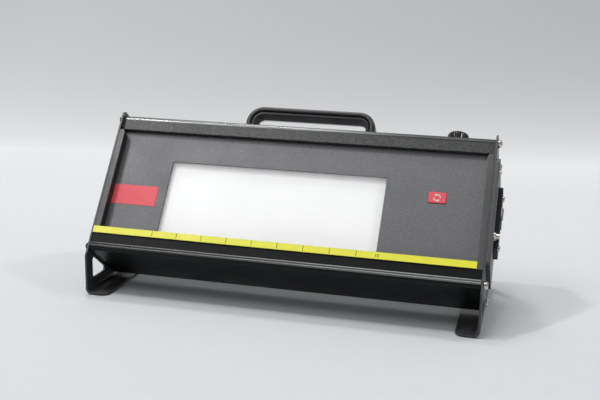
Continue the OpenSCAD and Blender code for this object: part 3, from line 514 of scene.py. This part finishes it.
def smooth_rail_paint():
    """Rail paint with a painted highlight along its rounded edge: light metal that turns to paint towards the
    knob.
    """
    material, tree, shader = blank_finish("smooth_rail_paint")
    grain = placed(tree, DRAWN_LINES, Depth=0.12)
    patches = placed(tree, HANDLING_MARKS, Scale=MARKS_SCALE)["Marks"]
    paint_share = ramp(tree, axes_of(tree, place_of(tree))["X"], HIGHLIGHT_FADES, HIGHLIGHT_ENDS)
    # Painted highlight: light metal at the left end of the edge, dark paint further right
    highlight_metal = blend_colors(tree, grain["Tone"], (0.14, 0.145, 0.14), (0.22, 0.225, 0.22))
    paint = blend_colors(tree, grain["Tone"], (0.010, 0.011, 0.011), (0.045, 0.048, 0.046))
    tree.links.new(blend_colors(tree, paint_share, highlight_metal, paint), shader.inputs["Base Color"])
    tree.links.new(ramp(tree, paint_share, 0.0, 1.0, HIGHLIGHT_METALLIC, 0.0), shader.inputs["Metallic"])
    dulled = sums(tree, "MULTIPLY", paint_share, PAINT_DULLER)
    tree.links.new(sums(tree, "ADD", ramp(tree, patches, 0.0, 1.0, 0.25, 0.31), dulled),
                   shader.inputs["Roughness"])
    tree.links.new(grain["Normal"], shader.inputs["Normal"])
    return material


def rocker_plastic():
    return surface("rocker_plastic", (0.10, 0.10, 0.10), (0.16, 0.16, 0.16), (0.18, 0.28),
                   MOULDED_GRAIN, {"Depth": 0.15}, wear=(0.30, 0.30, 0.30), reach=0.3)


def black_plastic():
    return surface("black_plastic", (0.008, 0.008, 0.009), (0.022, 0.022, 0.023), (0.38, 0.52),
                   MOULDED_GRAIN, {"Depth": 0.3}, wear=(0.10, 0.10, 0.10), reach=0.3)


def handle_plastic():
    return surface("handle_plastic", (0.008, 0.008, 0.009), (0.020, 0.020, 0.022), (0.26, 0.38),
                   MOULDED_GRAIN, {"Scale": 1100.0, "Depth": 0.35}, wear=(0.13, 0.13, 0.13), reach=0.4,
                   sheen=(0.15, 0.58))


def knob_plastic():
    return surface("knob_plastic", (0.005, 0.005, 0.006), (0.012, 0.012, 0.013), (0.22, 0.34),
                   MOULDED_GRAIN, {"Depth": 0.2}, wear=(0.12, 0.12, 0.12), reach=0.4, sheen=(0.25, 0.4))


def pad_rubber():
    return surface("pad_rubber", (0.010, 0.010, 0.010), (0.032, 0.032, 0.032), (0.7, 0.85),
                   MOULDED_GRAIN, {"Scale": 900.0, "Depth": 0.6})


def red_button():
    return surface("red_button", (0.92, 0.090, 0.115), (0.97, 0.12, 0.15), (0.28, 0.40),
                   MOULDED_GRAIN, {"Depth": 0.15}, wear=(0.85, 0.45, 0.45), reach=0.2)


def red_label():
    return surface("red_label", (0.90, 0.085, 0.105), (0.96, 0.11, 0.14), (0.30, 0.42),
                   MOULDED_GRAIN, {"Scale": 700.0, "Depth": 0.12})


def yellow_strip():
    return surface("yellow_strip", (0.95, 0.90, 0.018), (0.99, 0.96, 0.035), (0.32, 0.46),
                   MOULDED_GRAIN, {"Scale": 600.0, "Depth": 0.12}, marks=60.0, sheen=(1.0, 1.0))


def white_ink():
    return surface("white_ink", (0.72, 0.72, 0.70), (0.86, 0.86, 0.84), (0.40, 0.52),
                   MOULDED_GRAIN, {"Scale": 900.0, "Depth": 0.1})


def black_ink():
    return surface("black_ink", (0.010, 0.010, 0.008), (0.030, 0.030, 0.024), (0.40, 0.52),
                   MOULDED_GRAIN, {"Scale": 900.0, "Depth": 0.1})


def white_paint():
    return surface("white_paint", (0.74, 0.74, 0.72), (0.84, 0.84, 0.82), (0.5, 0.6),
                   POWDER_GRAIN, {"Scale": 900.0, "Depth": 0.3})


def white_board():
    return surface("white_board", (0.70, 0.71, 0.68), (0.82, 0.83, 0.80), (0.30, 0.40),
                   MOULDED_GRAIN, {"Scale": 500.0, "Depth": 0.2})


def green_board():
    return surface("green_board", (0.010, 0.075, 0.028), (0.020, 0.140, 0.055), (0.26, 0.36),
                   MOULDED_GRAIN, {"Scale": 350.0, "Depth": 0.3})


def led_phosphor():
    return surface("led_phosphor", (0.80, 0.62, 0.10), (0.92, 0.76, 0.18), (0.30, 0.40),
                   MOULDED_GRAIN, {"Scale": 900.0, "Depth": 0.2})


def raw_aluminium():
    return surface("raw_aluminium", (0.48, 0.49, 0.50), (0.64, 0.65, 0.66), (0.28, 0.42),
                   DRAWN_LINES, {"Depth": 0.4}, metallic=0.9)


def steel_screw():
    return surface("steel_screw", (0.42, 0.42, 0.42), (0.56, 0.56, 0.55), (0.26, 0.40),
                   MOULDED_GRAIN, {"Scale": 2200.0, "Depth": 0.2}, metallic=1.0)


def black_screw():
    return surface("black_screw", (0.010, 0.010, 0.010), (0.030, 0.030, 0.030), (0.26, 0.40),
                   MOULDED_GRAIN, {"Scale": 2200.0, "Depth": 0.2}, metallic=0.6, wear=(0.3, 0.3, 0.3))


def bright_nickel():
    return surface("bright_nickel", (0.60, 0.58, 0.55), (0.78, 0.76, 0.73), (0.14, 0.28),
                   MOULDED_GRAIN, {"Scale": 1800.0, "Depth": 0.12}, metallic=1.0)


def pin_brass():
    return surface("pin_brass", (0.60, 0.48, 0.22), (0.74, 0.61, 0.32), (0.2, 0.34),
                   DRAWN_LINES, {"Depth": 0.2}, metallic=1.0)


# Least and greatest roughness of the satin pane, and how strongly it bends light
PANE_ROUGH = (0.34, 0.42)
GLASS_IOR = 1.5


def clear_glass():
    """Satin window pane. Rays that bring lamp light pass it, so that the diffuser is lit evenly."""
    material, tree, shader = blank_finish("clear_glass")
    patches = placed(tree, HANDLING_MARKS, Scale=30.0)["Marks"]
    tree.links.new(ramp(tree, patches, 0.0, 1.0, *PANE_ROUGH), shader.inputs["Roughness"])
    tint = blend_colors(tree, patches, (0.985, 0.985, 0.985), (0.955, 0.957, 0.957))
    tree.links.new(tint, shader.inputs["Base Color"])
    shader.inputs["IOR"].default_value = GLASS_IOR
    shader.inputs["Transmission Weight"].default_value = 1.0
    path = tree.nodes.new("ShaderNodeLightPath")
    passing = sums(tree, "MAXIMUM", path.outputs["Is Shadow Ray"], path.outputs["Is Diffuse Ray"])
    through = tree.nodes.new("ShaderNodeBsdfTransparent")
    tree.links.new(tint, through.inputs["Color"])
    show_mix(tree, passing, shader.outputs["BSDF"], through.outputs["BSDF"])
    return material


# Where the diffuser's light starts to fall towards its border, to what share, and its strength
GLOW_FALLS_SHARE = 0.86
BORDER_GLOW = 0.50
GLOW_STRENGTH = 0.27


def opal_acrylic():
    """Diffuser, lit from behind: brightest in the middle, a little less along its border."""
    material, tree, shader = blank_finish("opal_acrylic")
    low, high = (Vector(corner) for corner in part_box("diffuser"))
    middle = (low + high) / 2
    half = (high - low) / 2
    axes = axes_of(tree, place_of(tree))
    fades = []
    for axis, centre, reach in (("X", middle.x, half.x), ("Z", middle.z, half.z)):
        away = sums(tree, "ABSOLUTE", sums(tree, "SUBTRACT", axes[axis], centre), 0.0)
        fades.append(ramp(tree, away, reach * GLOW_FALLS_SHARE, reach, 1.0, BORDER_GLOW))
    glow = sums(tree, "MULTIPLY", fades[0], fades[1])
    spread = noise(tree, place_of(tree), 12.0, 1.0, 0.4)
    glow = sums(tree, "MULTIPLY", glow, ramp(tree, spread, 0.3, 0.7, 0.97, 1.0))
    color = blend_colors(tree, glow, (0.0, 0.0, 0.0), (0.94, 0.93, 0.94))
    tree.links.new(color, shader.inputs["Emission Color"])
    shader.inputs["Emission Strength"].default_value = GLOW_STRENGTH
    tree.links.new(blend_colors(tree, spread, (0.80, 0.80, 0.79), (0.88, 0.88, 0.87)),
                   shader.inputs["Base Color"])
    tree.links.new(ramp(tree, spread, 0.3, 0.7, 0.45, 0.6), shader.inputs["Roughness"])
    return material


FINISHES = {make.__name__: make() for make in (
    grey_texture_paint, black_powder_coat, rail_paint, smooth_rail_paint, black_anodised, lip_anodised,
    rubbed_anodised, black_plastic, rocker_plastic, handle_plastic, knob_plastic, pad_rubber, red_button,
    red_label, yellow_strip, white_ink, black_ink, white_paint, white_board, green_board, led_phosphor,
    raw_aluminium, steel_screw, black_screw, bright_nickel, pin_brass, clear_glass, opal_acrylic)}

# Nodes whose finish isn't the one of their slot's name
OTHER_FINISH = {"top_profile": "rail_paint", "bottom_profile": "lip_anodised",
                "power_rocker": "rocker_plastic"}


def finish_cad_nodes():
    """Gives every CAD node its finish and gives back the record's slot of each."""
    slots = {part["node"]: part["material_slot"] for part in frame["record"]["subparts"]}
    for name, node in frame["nodes"].items():
        finish = FINISHES[OTHER_FINISH.get(name, slots[name])]
        for slot in node.material_slots:
            slot.material = finish
    return slots


SLOTS = finish_cad_nodes()


# Pieces with rounded corners in place of their sharp CAD nodes, with the width of each corner in mm

SOFT_CORNERS = {
    "side_bracket_left": 0.35, "side_bracket_right": 0.35, "top_profile": 0.3, "bottom_profile": 0.3,
    "front_panel": 0.25, "connector_cover": 0.5, "power_module": 0.25,
    "window_button": 0.35, "edge_guide_left": 0.3, "edge_guide_right": 0.3,
    "end_screws_left": 0.2, "end_screws_right": 0.2, "power_rocker": 0.3, "fuse_drawer": 0.15,
    "foot_jack_nut": 0.2}


def soften_corners():
    body_of = {node: body for body, nodes in frame["record"]["behaviour"]["bodies"].items()
               for node in nodes}
    for node, width in SOFT_CORNERS.items():
        piece = softened(node, width * MM)
        dress(piece, FINISHES[OTHER_FINISH.get(node, SLOTS[node])], body_of[node])


soften_corners()


# Window pane, a hair thinner than its node, so that it shares no face with the diffuser

PANE_GAP = 0.06 * MM
PANE_CORNER = 0.2 * MM
PANE_BACK_REACH = 0.5 * MM


def window_pane():
    pane = softened("window_glass", PANE_CORNER)
    back = max(in_head(pane.matrix_world @ vert.co).y for vert in pane.data.vertices)
    edit(pane, all_selected=False)
    select_verts(pane, lambda vert: in_head(pane.matrix_world @ vert.co).y > back - PANE_BACK_REACH)
    bpy.ops.transform.translate(value=-INTO_PANEL * PANE_GAP)
    leave_edit()
    dress(pane, FINISHES["clear_glass"])


window_pane()


# Beads along the film lip and a round over the rail's edge, both finished with painted highlights

LIP_BEAD_D = -9.4 * MM
LIP_BEAD_V = (-11.2 * MM, -13.5 * MM)
LIP_BEAD_R = 1.26 * MM
LIP_BEAD_CORNER = 0.15 * MM
RAIL_EDGE_D = -0.54 * MM
RAIL_EDGE_V = 129.1 * MM
RAIL_EDGE_R = 4.8 * MM
RAIL_EDGE_DEEP = 1.4 * MM
RAIL_EDGE_TILT = math.radians(16)
BEAD_L = 381.4 * MM


def lip_bead(name, v):
    """Rounded bead along the whole lip, at a height up the head."""
    deselect()
    bpy.ops.mesh.primitive_cylinder_add(vertices=32, radius=LIP_BEAD_R, depth=BEAD_L,
                                        location=(0, LIP_BEAD_D, v), rotation=(0, QUARTER, 0))
    bead = named(name)
    bpy.ops.object.transform_apply(location=True, rotation=True, scale=True)
    rounded(bead, LIP_BEAD_CORNER)
    settle(bead)
    dress(bead, FINISHES["rubbed_anodised"])


def rail_edge():
    """Smooth round over the rail's outer corner: the outer slice of a long rod."""
    outer = Vector((0, -math.cos(RAIL_EDGE_TILT), math.sin(RAIL_EDGE_TILT)))
    centre = Vector((0, RAIL_EDGE_D, RAIL_EDGE_V))
    deselect()
    bpy.ops.mesh.primitive_cylinder_add(vertices=96, radius=RAIL_EDGE_R, depth=BEAD_L, location=centre,
                                        rotation=(0, QUARTER, 0))
    edge = named("rail_edge")
    bpy.ops.object.transform_apply(location=True, rotation=True, scale=True)
    edit(edge)
    bpy.ops.mesh.bisect(plane_co=centre + outer * (RAIL_EDGE_R - RAIL_EDGE_DEEP), plane_no=outer,
                        use_fill=True, clear_inner=True)
    leave_edit()
    outwards(edge)
    bpy.ops.object.shade_smooth_by_angle(angle=SMOOTH_FINE)
    settle(edge)
    dress(edge, FINISHES["smooth_rail_paint"])


for row, height in enumerate(LIP_BEAD_V):
    lip_bead("lip_bead_%d" % (row + 1), height)
rail_edge()


# Carrying handle

HANDLE_W = 136.5 * MM
HANDLE_H = 33 * MM
HANDLE_R = 17.5 * MM
HANDLE_C = 29 * MM
STRAP_T = 6.0 * MM
STRAP_D = 17 * MM
STRAP_R = 2.5 * MM
GRIP_T = 3.0 * MM
GRIP_D = 14.2 * MM
GRIP_R = 1.0 * MM
GRIP_SUNK = 0.2 * MM
RIB_W = 0.95 * MM
RIB_PITCH = 1.95 * MM
RIB_PROUD = 0.5 * MM
RIB_CORNER = 0.28 * MM
LEG_H = HANDLE_H - HANDLE_R
BEND_V = TOP_V + LEG_H


def swept_strap(name, inset, thick, deep, corner):
    """Flat strap that rises from the housing, turns over two corners and comes down again."""
    half = HANDLE_W / 2 - inset
    bend = HANDLE_R - inset
    deselect()
    bpy.ops.mesh.primitive_plane_add(size=1, location=(thick / 2 - half, HANDLE_C, TOP_V))
    piece = named(name)
    piece.scale = (thick, deep, 1)
    bpy.ops.object.transform_apply(location=True, rotation=True, scale=True)
    edit(piece)
    bpy.ops.mesh.bevel(offset=corner, segments=6, affect="VERTICES")
    push((0, 0, LEG_H))
    for turn, run in ((1, (2 * (half - bend), 0, 0)), (-1, (0, 0, -LEG_H))):
        bpy.ops.mesh.spin(steps=14, angle=-QUARTER, center=(-turn * (half - bend), HANDLE_C, BEND_V),
                          axis=(0, 1, 0))
        push(run)
    leave_edit()
    settle(piece)
    outwards(piece)
    pick(piece)
    bpy.ops.object.shade_smooth_by_angle(angle=SMOOTH)
    return piece


def grip_rib():
    """One rib of the grip, across it, with its middle at the origin."""
    deselect()
    bpy.ops.mesh.primitive_cube_add(size=1)
    rib = named("grip_rib")
    rib.scale = (RIB_W, GRIP_D + 2 * RIB_PROUD, GRIP_T)
    bpy.ops.object.transform_apply(location=True, rotation=True, scale=True)
    edit(rib)
    bpy.ops.mesh.bevel(offset=RIB_CORNER, segments=1, affect="EDGES")
    leave_edit()
    return rib


def grip_ribs():
    """Ribs along the grip's straight run, round both corners and down its ends."""
    inset = STRAP_T + GRIP_T / 2
    half = HANDLE_W / 2 - HANDLE_R
    bend = HANDLE_R - inset - RIB_PROUD
    straight = int(2 * half / RIB_PITCH)
    turns = int(bend * QUARTER / RIB_PITCH)
    downs = int(LEG_H / RIB_PITCH)
    rib = grip_rib()
    places = []
    for i in range(straight + 1):
        places.append(((i - straight / 2) * 2 * half / straight, BEND_V + bend, 0.0))
    for side in (-1, 1):
        for i in range(1, turns + 1):
            angle = QUARTER * i / turns
            places.append((side * (half + bend * math.sin(angle)), BEND_V + bend * math.cos(angle),
                           side * angle))
        for i in range(1, downs):
            places.append((side * (half + bend), BEND_V - i * RIB_PITCH, side * QUARTER))
    ribs = [copied(rib, Matrix.Translation((x, HANDLE_C, v)) @ Matrix.Rotation(turn, 4, "Y"))
            for x, v, turn in places]
    bpy.data.objects.remove(rib)
    piece = joined(ribs, "handle_ribs")
    settle(piece)
    bpy.ops.object.shade_smooth_by_angle(angle=SMOOTH_FINE)
    return piece


def carrying_handle():
    strap = swept_strap("handle_strap", 0.0, STRAP_T, STRAP_D, STRAP_R)
    grip = swept_strap("handle_grip", STRAP_T - GRIP_SUNK, GRIP_T, GRIP_D, GRIP_R)
    ribs = grip_ribs()
    for piece in (strap, grip, ribs):
        dress(piece, FINISHES["handle_plastic"])
    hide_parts("carrying_handle")


carrying_handle()


# Dimmer knob

KNOB_LOW = 134.6 * MM
KNOB_H = 16.8 * MM
KNOB_R = 10.9 * MM
KNOB_FLUTES = 32
FLUTE_VERTS = 4
FLUTE_SHARE = 0.955
KNOB_RIM = 1.1 * MM
RIM_RISE = 0.1 * MM
KNOB_DISH_STEP = 0.5 * MM
KNOB_WALL = 3.6 * MM
KNOB_BORE_DEEP = 5.8 * MM
POINTER_TURN = math.radians(22)
POINTER_CORNER = 0.1 * MM

# Rings of the knob's side, as shares of its height and of its radius
KNOB_RING_SHARES = ((0.0, 0.97), (0.03, 1.0), (0.80, 0.985), (0.88, 0.97), (0.96, 0.93), (1.0, 0.89))

# Sizes and middles in mm of the pointer's bars, up the side and over the top
POINTER_BARS = (((0.9, 0.5, 12.4), (0, -10.7, 7.7)), ((0.9, 8.4, 0.3), (0, -5.0, 16.75)))


def knob_pointer():
    """Painted line up the knob's side and over its top."""
    bars = []
    for size, spot in POINTER_BARS:
        deselect()
        bpy.ops.mesh.primitive_cube_add(size=1, location=Vector(spot) * MM)
        bar = named("knob_pointer")
        bar.scale = Vector(size) * MM
        bpy.ops.object.transform_apply(location=True, rotation=True, scale=True)
        edit(bar)
        bpy.ops.mesh.bevel(offset=POINTER_CORNER, segments=2, affect="EDGES")
        leave_edit()
        bars.append(bar)
    pointer = joined(bars, "knob_pointer")
    pointer.matrix_world = Matrix.Rotation(POINTER_TURN, 4, "Z")
    bpy.ops.object.transform_apply(location=True, rotation=True, scale=True)
    return pointer


def dimmer_knob():
    centre = in_head(JOINTS["dimmer_turn"]["pos_m"])
    deselect()
    bpy.ops.mesh.primitive_circle_add(vertices=KNOB_FLUTES * FLUTE_VERTS, fill_type="NGON",
                                      radius=KNOB_R * KNOB_RING_SHARES[0][1], location=(0, 0, 0))
    knob = named("knob_body")
    edit(knob)
    select_verts(knob, lambda vert: vert.index % FLUTE_VERTS == 0)
    bpy.ops.transform.resize(value=(FLUTE_SHARE, FLUTE_SHARE, 1), center_override=(0, 0, 0))
    bpy.ops.mesh.select_all(action="SELECT")
    for below, ring in zip(KNOB_RING_SHARES, KNOB_RING_SHARES[1:]):
        push((0, 0, (ring[0] - below[0]) * KNOB_H))
        share = ring[1] / below[1]
        bpy.ops.transform.resize(value=(share, share, 1), center_override=(0, 0, 0))
    bpy.ops.mesh.inset(thickness=KNOB_RIM)
    bpy.ops.transform.translate(value=(0, 0, RIM_RISE))
    bpy.ops.mesh.inset(thickness=KNOB_DISH_STEP)
    bpy.ops.transform.translate(value=(0, 0, -KNOB_DISH_STEP))
    select_faces(knob, lambda face: face.calc_center_median().z < WELD)
    bpy.ops.mesh.inset(thickness=KNOB_WALL)
    push((0, 0, KNOB_BORE_DEEP))
    leave_edit()
    outwards(knob)
    pointer = knob_pointer()
    spot = HEAD @ Matrix.Translation((centre.x, centre.y, KNOB_LOW))
    for piece, finish in ((knob, "knob_plastic"), (pointer, "white_ink")):
        settle(piece, spot)
        pick(piece)
        bpy.ops.object.shade_smooth_by_angle(angle=SMOOTH_KNOB)
        dress(piece, FINISHES[finish], "dimmer")
    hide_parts("dimmer_knob")


dimmer_knob()


# Ruler strip: inch lines and one plain number

FIRST_LINE = -128.4 * MM
LINE_COUNT = 10
LINE_W = 0.5 * MM
LINE_H = 5.4 * MM
LINE_BELOW_TOP = 0.3 * MM
LINE_CORNER = 0.05 * MM
INK_T = 0.06 * MM
NUMBER_SIZE = 4.4 * MM
NUMBER_BACK = 5.9 * MM
NUMBER_UP = 1.7 * MM
STRIP_FRONT = -FLANGE_PROUD - STRIP_T


def strip_lines():
    """Inch lines, each from near the strip's upper edge down."""
    middle_v = STRIP_H - LINE_BELOW_TOP - LINE_H / 2
    deselect()
    bpy.ops.mesh.primitive_cube_add(size=1, location=(FIRST_LINE, STRIP_FRONT - INK_T / 2, middle_v))
    lines = named("strip_lines")
    lines.scale = (LINE_W, INK_T, LINE_H)
    bpy.ops.object.transform_apply(location=True, rotation=True, scale=True)
    edit(lines)
    bpy.ops.mesh.bevel(offset=LINE_CORNER, segments=1, affect="EDGES")
    leave_edit()
    row = lines.modifiers.new("row", "ARRAY")
    row.count = LINE_COUNT - 1
    row.use_relative_offset = False
    row.use_constant_offset = True
    row.constant_offset_displace = (INCH, 0, 0)
    pick(lines)
    bpy.ops.object.modifier_apply(modifier=row.name)
    settle(lines)
    dress(lines, FINISHES["black_ink"])


def strip_number():
    """The number of the last inch, as a thin print on the strip."""
    deselect()
    bpy.ops.object.text_add()
    number = bpy.context.object
    number.data.body = str(LINE_COUNT)
    number.data.size = NUMBER_SIZE
    number.data.align_x = "CENTER"
    number.data.extrude = INK_T / 2
    bpy.ops.object.convert(target="MESH")
    number = named("strip_number")
    number_u = FIRST_LINE + (LINE_COUNT - 1) * INCH - NUMBER_BACK
    spot = Vector((number_u, STRIP_FRONT - INK_T / 2, NUMBER_UP))
    settle(number, HEAD @ Matrix.Translation(spot) @ Matrix.Rotation(QUARTER, 4, "X"))
    dress(number, FINISHES["black_ink"])


strip_lines()
strip_number()


# Push button's sign: two arrows that chase each other round a ring

SIGN_R = 3.1 * MM
SIGN_W = 1.0 * MM
SIGN_ARC = math.radians(112)
ARROW_ARC = math.radians(30)
ARROW_WIDER = 2.5
ARROW_TIP_SHARE = 0.12
BUTTON_FACE = -0.9 * MM


def button_sign():
    low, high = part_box("window_button")
    centre = in_head((Vector(low) + Vector(high)) / 2)
    deselect()
    bpy.ops.mesh.primitive_plane_add(size=1, location=(SIGN_R, 0, 0))
    arrow = named("sign_arrow")
    arrow.scale = (SIGN_W, INK_T, 1)
    bpy.ops.object.transform_apply(location=True, rotation=True, scale=True)
    edit(arrow)
    bpy.ops.mesh.spin(steps=12, angle=SIGN_ARC, center=(0, 0, 0), axis=(0, 1, 0))
    bpy.ops.transform.resize(value=(ARROW_WIDER, 1, ARROW_WIDER))
    bpy.ops.mesh.spin(steps=1, angle=ARROW_ARC, center=(0, 0, 0), axis=(0, 1, 0))
    bpy.ops.transform.resize(value=(ARROW_TIP_SHARE, 1, ARROW_TIP_SHARE))
    leave_edit()
    sign = joined([arrow, copied(arrow, Matrix.Rotation(math.pi, 4, "Y"))], "button_sign")
    settle(sign, HEAD @ Matrix.Translation((centre.x, BUTTON_FACE - INK_T / 2, centre.z)))
    outwards(sign)
    dress(sign, FINISHES["white_ink"], "push_button")


button_sign()


# Studio: a pale sweep, soft lamps and the camera

SWEEP_FRONT = -3.2
SWEEP_BACK = 0.62
SWEEP_R = 0.9
SWEEP_TOP = 3.6
SWEEP_HALF = 3.5
SWEEP_STEPS = 24


def studio_sweep():
    deselect()
    bpy.ops.mesh.primitive_plane_add(size=1, location=(0, (SWEEP_FRONT + SWEEP_BACK) / 2, 0))
    sweep = named("studio_sweep")
    sweep.scale = (2 * SWEEP_HALF, SWEEP_BACK - SWEEP_FRONT, 1)
    bpy.ops.object.transform_apply(location=True, rotation=True, scale=True)
    edit(sweep, all_selected=False)
    select_verts(sweep, lambda vert: vert.co.y > 0)
    bpy.ops.mesh.select_mode(type="EDGE")
    for i in range(SWEEP_STEPS):
        low, high = QUARTER * i / SWEEP_STEPS, QUARTER * (i + 1) / SWEEP_STEPS
        back = SWEEP_R * (math.sin(high) - math.sin(low))
        rise = SWEEP_R * (math.cos(low) - math.cos(high))
        bpy.ops.mesh.extrude_edges_move(TRANSFORM_OT_translate={"value": (0, back, rise)})
    bpy.ops.mesh.extrude_edges_move(TRANSFORM_OT_translate={"value": (0, 0, SWEEP_TOP)})
    leave_edit()
    bpy.ops.object.shade_smooth()
    sweep.data.materials.append(sweep_paper())


# How far back the wall's light starts and ends, and how that turns with the camera's view across
WALL_NEAR = 0.71
WALL_FAR = 1.61
WALL_TURN = 0.16

# The wall's painted light: its tone near and far, and the power by which it falls, to the left and to the right
WALL_LEFT = (0.86, 0.54, 2.0)
WALL_RIGHT = (0.83, 0.45, 3.6)
WALL_CAST = (0.99, 1.0, 1.015)

# Places along the viewer between which the left tones turn into the right ones
WALL_LEFT_X = -0.9
WALL_RIGHT_X = 0.32

# Where the floor's paper turns to a lighter tone, painted light towards the back, and where the wall's painted
# glow takes over
FLOOR_TURNS = (-0.15, 0.60)
WALL_TAKES_OVER = (0.50, 0.74)

PAPER_ROUGH = 0.9
PAPER_SHEEN = 0.1


def wall_tone(tree, nearness, near, far, fall):
    """Tone that falls from its near value to its far one by a power."""
    return ramp(tree, sums(tree, "POWER", nearness, fall), 0.0, 1.0, far, near)


def sweep_paper():
    """Pale paper, painted lighter towards the back. The wall behind the viewer glows with painted light for the
    camera and for reflections.
    """
    material, tree, shader = blank_finish("sweep_paper")
    place = place_of(tree)
    axes = axes_of(tree, place)
    away = sums(tree, "SUBTRACT", axes["Y"], sums(tree, "MULTIPLY", axes["X"], WALL_TURN))
    fibre = noise(tree, place, 60.0, 3.0, 0.5)
    near = blend_colors(tree, fibre, (0.690, 0.704, 0.722), (0.710, 0.724, 0.742))
    color = blend_colors(tree, ramp(tree, away, *FLOOR_TURNS), near, (0.76, 0.765, 0.775))
    tree.links.new(color, shader.inputs["Base Color"])
    shader.inputs["Roughness"].default_value = PAPER_ROUGH
    shader.inputs["Specular IOR Level"].default_value = PAPER_SHEEN
    nearness = ramp(tree, away, WALL_NEAR, WALL_FAR, 1.0, 0.0)
    left = wall_tone(tree, nearness, *WALL_LEFT)
    right = wall_tone(tree, nearness, *WALL_RIGHT)
    across = ramp(tree, axes["X"], WALL_LEFT_X, WALL_RIGHT_X)
    change = sums(tree, "MULTIPLY", sums(tree, "SUBTRACT", right, left), across)
    tone = sums(tree, "ADD", left, change)
    glow = tree.nodes.new("ShaderNodeEmission")
    tree.links.new(blend_colors(tree, tone, (0.0, 0.0, 0.0), WALL_CAST), glow.inputs["Color"])
    path = tree.nodes.new("ShaderNodeLightPath")
    seen = sums(tree, "ADD", path.outputs["Is Camera Ray"], path.outputs["Is Glossy Ray"])
    seen = sums(tree, "MINIMUM", sums(tree, "ADD", seen, path.outputs["Is Transmission Ray"]), 1.0)
    wall = sums(tree, "MULTIPLY", seen, ramp(tree, away, *WALL_TAKES_OVER))
    show_mix(tree, wall, shader.outputs["BSDF"], glow.outputs["Emission"])
    return material


# The lamps' aim and distance, and the light from all around
LAMP_TARGET = Vector((0, 0, 0.08))
LAMP_REACH = 3.0
SKY_COLOR = (0.96, 0.98, 1.0, 1)
SKY_STRENGTH = 0.29

# Each lamp's direction from the viewer, size in metres and power in watts. The key and the fill stand
# where the photograph's two floor shadows point.
LAMPS = {"key_lamp": ((-0.45, -0.15, 0.88), 0.14, 15), "fill_lamp": ((0.53, 0.20, 0.82), 0.25, 10),
         "top_lamp": ((-0.06, -0.08, 1.0), 0.9, 22), "front_lamp": ((-0.47, -0.42, 0.78), 1.0, 13),
         "back_lamp": ((-0.24, 0.30, 0.92), 0.5, 14)}


def softbox(name, away, size, power):
    """Square lamp that looks at the viewer from some way off."""
    lamp = bpy.data.lights.new(name, "AREA")
    lamp.size = size
    lamp.energy = power
    box = bpy.data.objects.new(name, lamp)
    bpy.context.collection.objects.link(box)
    box.location = LAMP_TARGET + away
    box.rotation_mode = "QUATERNION"
    box.rotation_quaternion = (-away).to_track_quat("-Z", "Y")


def studio_light():
    for name, (aim, size, power) in LAMPS.items():
        softbox(name, Vector(aim) * LAMP_REACH, size, power)
    world = bpy.data.worlds.new("studio")
    world.use_nodes = True
    background = world.node_tree.nodes["Background"]
    background.inputs["Color"].default_value = SKY_COLOR
    background.inputs["Strength"].default_value = SKY_STRENGTH
    bpy.context.scene.world = world
    bpy.context.scene.view_settings.view_transform = "Standard"


# The photograph's camera: its place, its turns in radians and its focal length in pixels
CAMERA_PLACE = Vector((226.7, -880.5, 311.6)) * MM
CAMERA_PITCH = 0.2333
CAMERA_YAW = -0.2501
CAMERA_ROLL = 0.0236
FOCAL_PIXELS = 938.2
PHOTO_W = 600
SENSOR_W = 36.0


def photo_camera():
    ahead = Vector((math.sin(CAMERA_YAW) * math.cos(CAMERA_PITCH),
                    math.cos(CAMERA_YAW) * math.cos(CAMERA_PITCH), -math.sin(CAMERA_PITCH)))
    level = Vector((math.cos(CAMERA_YAW), -math.sin(CAMERA_YAW), 0))
    above = level.cross(ahead)
    right = level * math.cos(CAMERA_ROLL) + above * math.sin(CAMERA_ROLL)
    top = above * math.cos(CAMERA_ROLL) - level * math.sin(CAMERA_ROLL)
    lens = bpy.data.cameras.new("photo_camera")
    lens.sensor_width = SENSOR_W
    lens.lens = FOCAL_PIXELS * SENSOR_W / PHOTO_W
    camera = bpy.data.objects.new("photo_camera", lens)
    bpy.context.collection.objects.link(camera)
    turn = Matrix((right, top, -ahead)).transposed().to_4x4()
    camera.matrix_world = Matrix.Translation(CAMERA_PLACE) @ turn
    bpy.context.scene.camera = camera


studio_sweep()
studio_light()
photo_camera()
